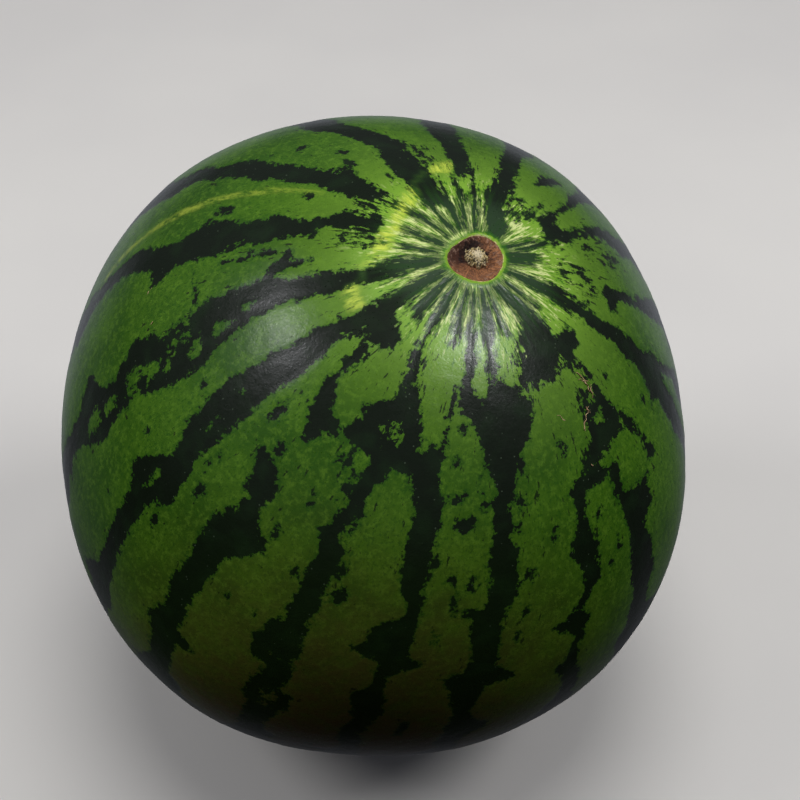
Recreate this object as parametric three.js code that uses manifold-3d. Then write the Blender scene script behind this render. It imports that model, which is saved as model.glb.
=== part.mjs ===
// A whole round watermelon, resting on a small flat spot with its blossom end up and leaning forward.
// Millimetres, +Z up, origin on the surface it rests on, under the middle of its box.
// The fruit is one solid: its blossom scar and the short cut stem at the hidden end grew with it.
import * as THREE from "three";
import { mergeVertices } from "three/addons/utils/BufferGeometryUtils.js";
import Module from "manifold-3d";

// The rind as an ellipsoid round the fruit's own axis
const EQUATOR_RADIUS = 125;
const POLE_STRETCH = 1.031; // half length over half width
const POLE_RADIUS = EQUATOR_RADIUS * POLE_STRETCH;
// Slow swellings round the equator, which fade out at both ends: how many, how high as a share, and where one crests
const SWELLINGS = [
  { count: 2, share: 0.0186, crestDeg: -73 },
  { count: 3, share: 0.0059, crestDeg: -38 },
  { count: 4, share: 0.0164, crestDeg: -33 },
];

// How the axis stands: its blossom end leans this far from upright, towards this compass direction from +X
const LEAN_DEG = 25.4;
const LEAN_TOWARDS_DEG = -49.3;

// The fruit's weight flattens the rind where it rests
const REST_SPOT_DEPTH = 0.9;

// Blossom scar: a corky round hollow with a rough raised knob where the flower sat
const SCAR_RADIUS = 8.9;
const SCAR_LIP_WIDTH = 1.5;
const SCAR_DEPTH = 2.2;
const SCAR_KNOB_RADIUS = 3.7;
const SCAR_KNOB_BELOW_RIND = 0.4;

// Stem end: a shallow dish with the dried stump of the stem, which was cut off short
const DISH_RADIUS = 24;
const DISH_DEPTH = 3;
const STUMP_RADIUS = 4.4;
const STUMP_FLARE = 2.4;
const STUMP_LENGTH = 7.5;
const STUMP_RIBS = 5;
const STUMP_RIB_SHARE = 0.08;

const SEGMENTS = 64;
const BODY_RINGS = 30;
const BODY_START_DEG = 7; // where the even rings begin, past the scar's lip
const BODY_END_DEG = 168; // and where they end, at the dish's edge
const DISH_RINGS = 4;

const RIND_GREEN = "#4a7a26";

const wasm = await Module();
wasm.setup();

/** Height of the undented rind above the middle of the fruit, at a distance from the axis. */
function rindHeight(distance) {
  return POLE_RADIUS * Math.sqrt(1 - (distance / EQUATOR_RADIUS) ** 2);
}

/** The blossom end's half section, from the axis outwards: the knob, the hollow and its lip. */
function scarSection() {
  const knobTop = POLE_RADIUS - SCAR_KNOB_BELOW_RIND;
  const floor = POLE_RADIUS - SCAR_DEPTH;
  const lip = SCAR_RADIUS + SCAR_LIP_WIDTH;
  return [
    new THREE.Vector2(0, knobTop),
    new THREE.Vector2(0.55 * SCAR_KNOB_RADIUS, knobTop - 0.1 * SCAR_DEPTH),
    new THREE.Vector2(0.9 * SCAR_KNOB_RADIUS, knobTop - 0.35 * SCAR_DEPTH),
    new THREE.Vector2(1.15 * SCAR_KNOB_RADIUS, floor + 0.1 * SCAR_DEPTH),
    new THREE.Vector2(0.72 * SCAR_RADIUS, floor),
    new THREE.Vector2(0.9 * SCAR_RADIUS, floor + 0.3 * SCAR_DEPTH),
    new THREE.Vector2(SCAR_RADIUS, floor + 0.75 * SCAR_DEPTH),
    new THREE.Vector2(lip, rindHeight(lip)),
  ];
}

/** The main half section, from the scar's lip to the edge of the dish at the stem end. */
function bodySection() {
  const points = [];
  for (let ring = 0; ring <= BODY_RINGS; ring++) {
    const deg = THREE.MathUtils.lerp(BODY_START_DEG, BODY_END_DEG, ring / BODY_RINGS);
    const turn = THREE.MathUtils.degToRad(deg);
    points.push(
      new THREE.Vector2(EQUATOR_RADIUS * Math.sin(turn), POLE_RADIUS * Math.cos(turn)),
    );
  }
  return points;
}

/** The stem end's half section, from the dish's edge in to the stump and over its cut face to the axis. */
function stemSection() {
  const points = [];
  const root = STUMP_RADIUS + STUMP_FLARE;
  for (let ring = 1; ring <= DISH_RINGS; ring++) {
    const distance = THREE.MathUtils.lerp(DISH_RADIUS, root, ring / DISH_RINGS);
    const inside = 1 - (distance / DISH_RADIUS) ** 2;
    points.push(
      new THREE.Vector2(distance, DISH_DEPTH * inside ** 2 - rindHeight(distance)),
    );
  }
  const base = DISH_DEPTH - POLE_RADIUS;
  const end = base - STUMP_LENGTH;
  points.push(
    new THREE.Vector2(STUMP_RADIUS + 0.25 * STUMP_FLARE, base - 0.2 * STUMP_LENGTH),
    new THREE.Vector2(STUMP_RADIUS, base - 0.45 * STUMP_LENGTH),
    new THREE.Vector2(STUMP_RADIUS, end + 0.1 * STUMP_LENGTH),
    new THREE.Vector2(0.85 * STUMP_RADIUS, end),
    new THREE.Vector2(0, end + 0.08 * STUMP_LENGTH),
  );
  return points;
}

/** Swells the turned shape round its equator and ribs the stump, in place. The axis is Y here. */
function growUneven(geometry) {
  const position = geometry.getAttribute("position");
  const point = new THREE.Vector3();
  const stumpStart = DISH_DEPTH * 0.9 - POLE_RADIUS;
  for (let i = 0; i < position.count; i++) {
    point.fromBufferAttribute(position, i);
    const round = Math.atan2(-point.z, point.x);
    const sine = Math.hypot(point.x, point.z) / point.length();
    let swell = 0;
    for (const { count, share, crestDeg } of SWELLINGS) {
      swell += share * Math.cos(count * (round - THREE.MathUtils.degToRad(crestDeg)));
    }
    point.multiplyScalar(1 + sine ** 2 * swell);
    if (point.y < stumpStart && Math.hypot(point.x, point.z) < STUMP_RADIUS + STUMP_FLARE) {
      const rib = 1 + STUMP_RIB_SHARE * Math.cos(STUMP_RIBS * round);
      point.x *= rib;
      point.z *= rib;
    }
    position.setXYZ(i, point.x, point.y, point.z);
  }
}

/** A closed solid of a geometry's merged vertices, without the slivers where a turned shape meets its axis. */
function toSolid(geometry) {
  const bare = new THREE.BufferGeometry()
    .setAttribute("position", geometry.getAttribute("position"))
    .setIndex(geometry.getIndex());
  const merged = mergeVertices(bare, 1e-3);
  const index = merged.getIndex().array;
  const triangles = [];
  for (let i = 0; i < index.length; i += 3) {
    const [a, b, c] = index.subarray(i, i + 3);
    if (a !== b && b !== c && c !== a) triangles.push(a, b, c);
  }
  return new wasm.Manifold(
    new wasm.Mesh({
      numProp: 3,
      vertProperties: merged.getAttribute("position").array,
      triVerts: new Uint32Array(triangles),
    }),
  );
}

/** A three.js geometry of a solid. */
function toGeometry(solid) {
  const mesh = solid.getMesh();
  return new THREE.BufferGeometry()
    .setAttribute("position", new THREE.BufferAttribute(mesh.vertProperties, 3))
    .setIndex(new THREE.BufferAttribute(mesh.triVerts, 1));
}

/** The whole fruit, upright round +Z, then leaned as it rests and cut flat where it touches the surface. */
function fruitGeometry() {
  const section = [...scarSection(), ...bodySection(), ...stemSection()];
  section.reverse(); // a lathe's faces point out when its section runs upwards
  const turned = new THREE.LatheGeometry(section, SEGMENTS);
  growUneven(turned);
  turned.rotateX(Math.PI / 2);
  const towards = THREE.MathUtils.degToRad(LEAN_TOWARDS_DEG);
  turned.rotateZ(-towards);
  turned.rotateY(THREE.MathUtils.degToRad(LEAN_DEG));
  turned.rotateZ(towards);

  turned.computeBoundingBox();
  const { min, max } = turned.boundingBox;
  const ground = min.z + REST_SPOT_DEPTH;
  const width = max.x - min.x;
  const below = new THREE.BoxGeometry(2 * width, 2 * width, width);
  below.translate(0, 0, ground - width / 2);
  const rested = toGeometry(toSolid(turned).subtract(toSolid(below)));
  rested.translate(-(min.x + max.x) / 2, -(min.y + max.y) / 2, -ground);
  return rested;
}

const rind = new THREE.MeshStandardMaterial({
  color: RIND_GREEN,
  roughness: 0.45,
  metalness: 0,
});
const watermelon = new THREE.Mesh(fruitGeometry(), rind);
watermelon.name = "watermelon";

const group = new THREE.Group();
group.add(watermelon);

export default group;
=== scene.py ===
"""A whole striped watermelon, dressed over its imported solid.

The rind, the corky blossom scar, the dried stump of the stem and the healed scratches are pieces of their own
here. Lengths are in metres unless a name or a comment says millimetres, and angles are in degrees unless a
comment says otherwise. A place on the rind is given as degrees down the fruit from the blossom scar and degrees
around it, counted from the right-hand side towards the back.
"""

import logging
import math
import random
from collections.abc import Callable, Sequence
from dataclasses import dataclass, field
from enum import Enum

import bmesh
import bpy
import numpy as np
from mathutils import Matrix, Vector, noise
from mathutils.kdtree import KDTree


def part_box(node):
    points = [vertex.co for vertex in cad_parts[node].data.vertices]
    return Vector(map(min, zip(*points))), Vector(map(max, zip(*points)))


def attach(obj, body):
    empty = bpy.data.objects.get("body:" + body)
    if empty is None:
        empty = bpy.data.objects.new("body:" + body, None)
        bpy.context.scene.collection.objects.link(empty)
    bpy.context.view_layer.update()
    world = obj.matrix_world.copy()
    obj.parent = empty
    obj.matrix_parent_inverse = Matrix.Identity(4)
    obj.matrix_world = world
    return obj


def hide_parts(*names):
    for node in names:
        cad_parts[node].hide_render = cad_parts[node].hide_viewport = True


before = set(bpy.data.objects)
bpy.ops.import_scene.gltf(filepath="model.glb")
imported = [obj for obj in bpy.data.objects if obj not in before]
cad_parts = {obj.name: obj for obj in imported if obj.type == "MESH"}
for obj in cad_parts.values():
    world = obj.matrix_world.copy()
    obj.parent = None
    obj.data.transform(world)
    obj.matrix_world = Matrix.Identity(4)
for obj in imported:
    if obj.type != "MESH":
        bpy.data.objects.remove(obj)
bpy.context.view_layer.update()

BODY = "root"
NODE = "watermelon"
MM = 0.001
EQUATOR_DEG = 90.0
STEM_END_DEG = 180.0
NO_LIP = 9.0

log = logging.getLogger("watermelon")


def smooth_step(low: float, high: float, value: np.ndarray) -> np.ndarray:
    """Eases from 0 at low to 1 at high.

    Args:
        low: Where the result is still 0. It may be above high, which turns the step round.
        high: Where the result is 1.
        value: The numbers to ease.

    Returns:
        An array as long as value.
    """
    share = np.clip((value - low) / (high - low), 0.0, 1.0)
    return share * share * (3.0 - 2.0 * share)


def wrap_deg(angle: np.ndarray | float) -> np.ndarray | float:
    """The same turn as an angle from -180 up to 180 degrees."""
    return (angle + 180.0) % 360.0 - 180.0


def linear_colour(red: int, green: int, blue: int) -> tuple[float, float, float, float]:
    """Turns a display colour into the linear one that a shader takes.

    Args:
        red: Display red, 0 to 255.
        green: Display green, 0 to 255.
        blue: Display blue, 0 to 255.

    Returns:
        Linear red, green and blue, and a full alpha.
    """
    parts = []
    for part in (red, green, blue):
        share = part / 255.0
        parts.append(share / 12.92 if share <= 0.04045 else ((share + 0.055) / 1.055) ** 2.4)
    return parts[0], parts[1], parts[2], 1.0


def noise_field(points: np.ndarray, grain: float, seed: float) -> np.ndarray:
    """Smooth noise about 0 at some points.

    Args:
        points: Points, one a row.
        grain: Size of the noise's lumps, in the points' own unit.
        seed: Moves the noise elsewhere, so that two fields differ.

    Returns:
        One value a point, mostly from -0.6 to 0.6.
    """
    shifted = points / grain + seed
    return np.array([noise.noise(row) for row in shifted.tolist()])


def crumb_gaps(points: np.ndarray, grain: float, seed: float) -> np.ndarray:
    """How near each point lies to the gaps between crumbs.

    Args:
        points: Points, one a row.
        grain: Size of a crumb, in the points' own unit.
        seed: Moves the crumbs elsewhere.

    Returns:
        One value a point, from 0 in the middle of a crumb up to about 0.8 in a gap.
    """
    shifted = points / grain + seed
    return np.array([noise.voronoi(row)[0][0] for row in shifted.tolist()])


@dataclass(frozen=True)
class Swelling:
    """One slow swelling round the fruit.

    Attributes:
        count: How many crests it has round the fruit.
        share: How high they are, as a share of the radius.
        crest_deg: Where one of them crests.
    """

    count: int
    share: float
    crest_deg: float


@dataclass(frozen=True)
class MelonForm:
    """The bare form of the fruit and how it stands, the same as the solid's.

    Attributes:
        equator_radius: Its mean radius round the equator.
        pole_stretch: Half its length, as a share of that radius.
        swellings: Its slow swellings.
        lean_deg: How far its axis leans from upright.
        towards_deg: The direction it leans in, counted as around is.
        dish_radius: Radius of the shallow dish round the stem.
        dish_depth: Depth of that dish.
    """

    equator_radius: float = 0.125
    pole_stretch: float = 1.031
    swellings: tuple[Swelling, ...] = (
        Swelling(2, 0.0186, -73.0),
        Swelling(3, 0.0059, -38.0),
        Swelling(4, 0.0164, -33.0),
    )
    lean_deg: float = 25.4
    towards_deg: float = -49.3
    dish_radius: float = 0.024
    dish_depth: float = 0.003

    @property
    def pole_radius(self) -> float:
        """Half the fruit's length."""
        return self.equator_radius * self.pole_stretch

    @property
    def mm_per_degree(self) -> float:
        """Length of one degree along the rind at the equator, in millimetres."""
        return math.radians(self.equator_radius) / MM

    def upright(self, down: np.ndarray, around: np.ndarray) -> np.ndarray:
        """Points of the rind while the fruit's axis is still upright.

        Args:
            down: Degrees from the blossom scar.
            around: Degrees round the fruit.

        Returns:
            Points, one a row, about the middle of the fruit.
        """
        turn = np.radians(down)
        side = np.radians(around)
        points = np.stack(
            [
                self.equator_radius * np.sin(turn) * np.cos(side),
                self.equator_radius * np.sin(turn) * np.sin(side),
                self.pole_radius * np.cos(turn),
            ],
            axis=-1,
        )
        return points * self.growth(points)[..., None]

    def growth(self, points: np.ndarray) -> np.ndarray:
        """How far the slow swellings push out each point, as a factor.

        Args:
            points: Points about the middle of the fruit, one a row.

        Returns:
            One factor a point.
        """
        side = np.arctan2(points[..., 1], points[..., 0])
        sine = np.hypot(points[..., 0], points[..., 1]) / np.linalg.norm(points, axis=-1)
        swell = sum(
            s.share * np.cos(s.count * (side - math.radians(s.crest_deg))) for s in self.swellings
        )
        return 1.0 + sine**2 * swell

    def lean(self, vectors: np.ndarray) -> np.ndarray:
        """Turns upright vectors to how the fruit leans.

        Args:
            vectors: Vectors, one a row.

        Returns:
            The turned vectors.
        """
        tilt = math.radians(self.lean_deg)
        towards = math.radians(self.towards_deg)
        axis = np.array([-math.sin(towards), math.cos(towards), 0.0])
        along = (vectors @ axis)[..., None] * axis
        return (
            along
            + (vectors - along) * math.cos(tilt)
            + np.cross(np.broadcast_to(axis, vectors.shape), vectors) * math.sin(tilt)
        )

    def place(self, points: np.ndarray) -> np.ndarray:
        """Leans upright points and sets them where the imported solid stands.

        Args:
            points: Points about the middle of the upright fruit, one a row.

        Returns:
            The points in the frame.
        """
        down, around = np.meshgrid(np.linspace(1.0, 160.0, 160), np.linspace(-180.0, 179.0, 360))
        bare = self.lean(self.upright(down, around)).reshape(-1, 3)
        low, high = (np.array(corner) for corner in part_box(NODE))
        middle = (bare.min(axis=0) + bare.max(axis=0)) / 2.0
        shift = (low + high) / 2.0 - middle
        shift[2] = high[2] - bare[:, 2].max()
        return self.lean(points) + shift

    def arc_mm(self, down: np.ndarray) -> np.ndarray:
        """Length along the rind from the blossom scar, in millimetres."""
        return down * self.mm_per_degree


FORM = MelonForm()


@dataclass(frozen=True)
class RunOn:
    """How a stripe goes on down to the stem end, in degrees where nothing else is said.

    Attributes:
        usual: Range of the width that it keeps coming back to.
        gap: Range of the gap between two rows.
        drift: How far its middle may move sideways from row to row.
        swing: Range of a row's width, as a share of the usual one.
        pull: Share of the way to that width that it goes in one row.
        least_half: Its least half width.
        ends: Where its last row may lie.
        taper_from: Where it begins to narrow.
        taper_over: How far it takes to lose half of its width.
        lobe_chance: How often a row has a lobe at its side.
        lobes_end: Where the lobes stop.
        lobe_reach: Range of how far a lobe reaches sideways.
        lobe_tall: Range of how tall it is.
        lobe_form: Its outline: shares of its height, each with a share of its reach.
        tip: Length of the tip.
        tip_half: Half width of the tip.
    """

    usual: tuple[float, float] = (6.0, 10.4)
    gap: tuple[float, float] = (2.2, 4.8)
    drift: float = 1.1
    swing: tuple[float, float] = (0.45, 1.65)
    pull: float = 0.55
    least_half: float = 0.9
    ends: float = 166.0
    taper_from: float = 125.0
    taper_over: float = 45.0
    lobe_chance: float = 0.45
    lobes_end: float = 150.0
    lobe_reach: tuple[float, float] = (1.5, 7.0)
    lobe_tall: tuple[float, float] = (1.6, 4.6)
    lobe_form: tuple[tuple[float, float], ...] = ((0.25, 0.7), (0.55, 1.0), (0.85, 0.65))
    tip: float = 4.0
    tip_half: float = 0.3


RUN_ON = RunOn()


@dataclass(frozen=True)
class Stripe:
    """One dark stripe, as listed rows of its two edges.

    Attributes:
        name: What it is called in the log.
        rows: Degrees down the fruit, then degrees around it of the left and the right edge.
        runs_on: Whether it runs on to the stem end past its last row.
    """

    name: str
    rows: tuple[tuple[float, float, float], ...]
    runs_on: bool = False

    def grown(self) -> np.ndarray:
        """Its rows, with those of the stretch that runs on to the stem end.

        Returns:
            An array, each row as in rows: degrees down, the left edge and the right edge.
        """
        rows = [list(row) for row in self.rows]
        if not self.runs_on:
            return np.array(rows)
        draw = random.Random(self.name)
        last = rows[-1]
        down = last[0]
        middle = (last[1] + last[2]) / 2.0
        width = last[2] - last[1]
        usual = draw.uniform(*RUN_ON.usual)
        while down < RUN_ON.ends:
            down += draw.uniform(*RUN_ON.gap)
            middle += draw.uniform(-RUN_ON.drift, RUN_ON.drift)
            taper = 1.0 - 0.5 * max(0.0, (down - RUN_ON.taper_from) / RUN_ON.taper_over)
            width += RUN_ON.pull * (usual * draw.uniform(*RUN_ON.swing) - width)
            half = max(RUN_ON.least_half, width * taper / 2.0)
            rows.append([down, middle - half, middle + half])
            if draw.random() < RUN_ON.lobe_chance and down < RUN_ON.lobes_end:
                reach = draw.uniform(*RUN_ON.lobe_reach)
                tall = draw.uniform(*RUN_ON.lobe_tall)
                left = draw.random() < 0.5
                for part, share in RUN_ON.lobe_form:
                    to_left, to_right = (reach * share, 0.0) if left else (0.0, reach * share)
                    rows.append([down + tall * part, middle - half - to_left, middle + half + to_right])
                down += tall
                rows.append([down, middle - half, middle + half])
        rows.append([down + RUN_ON.tip, middle - RUN_ON.tip_half, middle + RUN_ON.tip_half])
        return np.array(rows)


@dataclass(frozen=True)
class Fleck:
    """A small oval of the other colour: dark in a light band, or light in a dark stripe.

    Attributes:
        down: Degrees from the blossom scar.
        around: Degrees round the fruit.
        long_mm: Half its length down the fruit.
        wide_mm: Half its width round the fruit.
    """

    down: float
    around: float
    long_mm: float
    wide_mm: float

    def depth_mm(self, down: np.ndarray, around: np.ndarray) -> np.ndarray:
        """How deep inside the oval each place is, in millimetres, below 0 outside it.

        Args:
            down: Degrees from the blossom scar.
            around: Degrees round the fruit.

        Returns:
            One depth a place.
        """
        along = (down - self.down) * FORM.mm_per_degree
        across = wrap_deg(around - self.around) * FORM.mm_per_degree * np.sin(np.radians(down))
        reach = np.hypot(along / self.long_mm, across / self.wide_mm)
        return (1.0 - reach) * min(self.long_mm, self.wide_mm)


@dataclass(frozen=True)
class PaleStreak:
    """A pale yellow mark that crosses the bands.

    Attributes:
        path: Its line: degrees down, degrees around, half width in millimetres, and strength up to 1.
    """

    path: tuple[tuple[float, float, float, float], ...]

    def share(self, down: np.ndarray, around: np.ndarray) -> np.ndarray:
        """How strongly it marks each place, from 0 to 1.

        Args:
            down: Degrees from the blossom scar.
            around: Degrees round the fruit.

        Returns:
            One share a place.
        """
        found = np.zeros_like(down)
        stops = self.path if len(self.path) > 1 else self.path * 2
        for start, end in zip(stops[:-1], stops[1:]):
            squeeze = FORM.mm_per_degree * np.sin(np.radians(down))
            here = np.stack([(down - start[0]) * FORM.mm_per_degree, wrap_deg(around - start[1]) * squeeze])
            step = np.stack(
                [
                    np.full_like(down, (end[0] - start[0]) * FORM.mm_per_degree),
                    wrap_deg(end[1] - start[1]) * squeeze,
                ]
            )
            along = np.clip((here * step).sum(0) / np.maximum((step**2).sum(0), 1e-6), 0.0, 1.0)
            gap = np.hypot(*(here - along * step))
            half = start[2] + (end[2] - start[2]) * along
            strength = start[3] + (end[3] - start[3]) * along
            found = np.maximum(found, strength * smooth_step(1.35, 0.35, gap / half))
        return found


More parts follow.
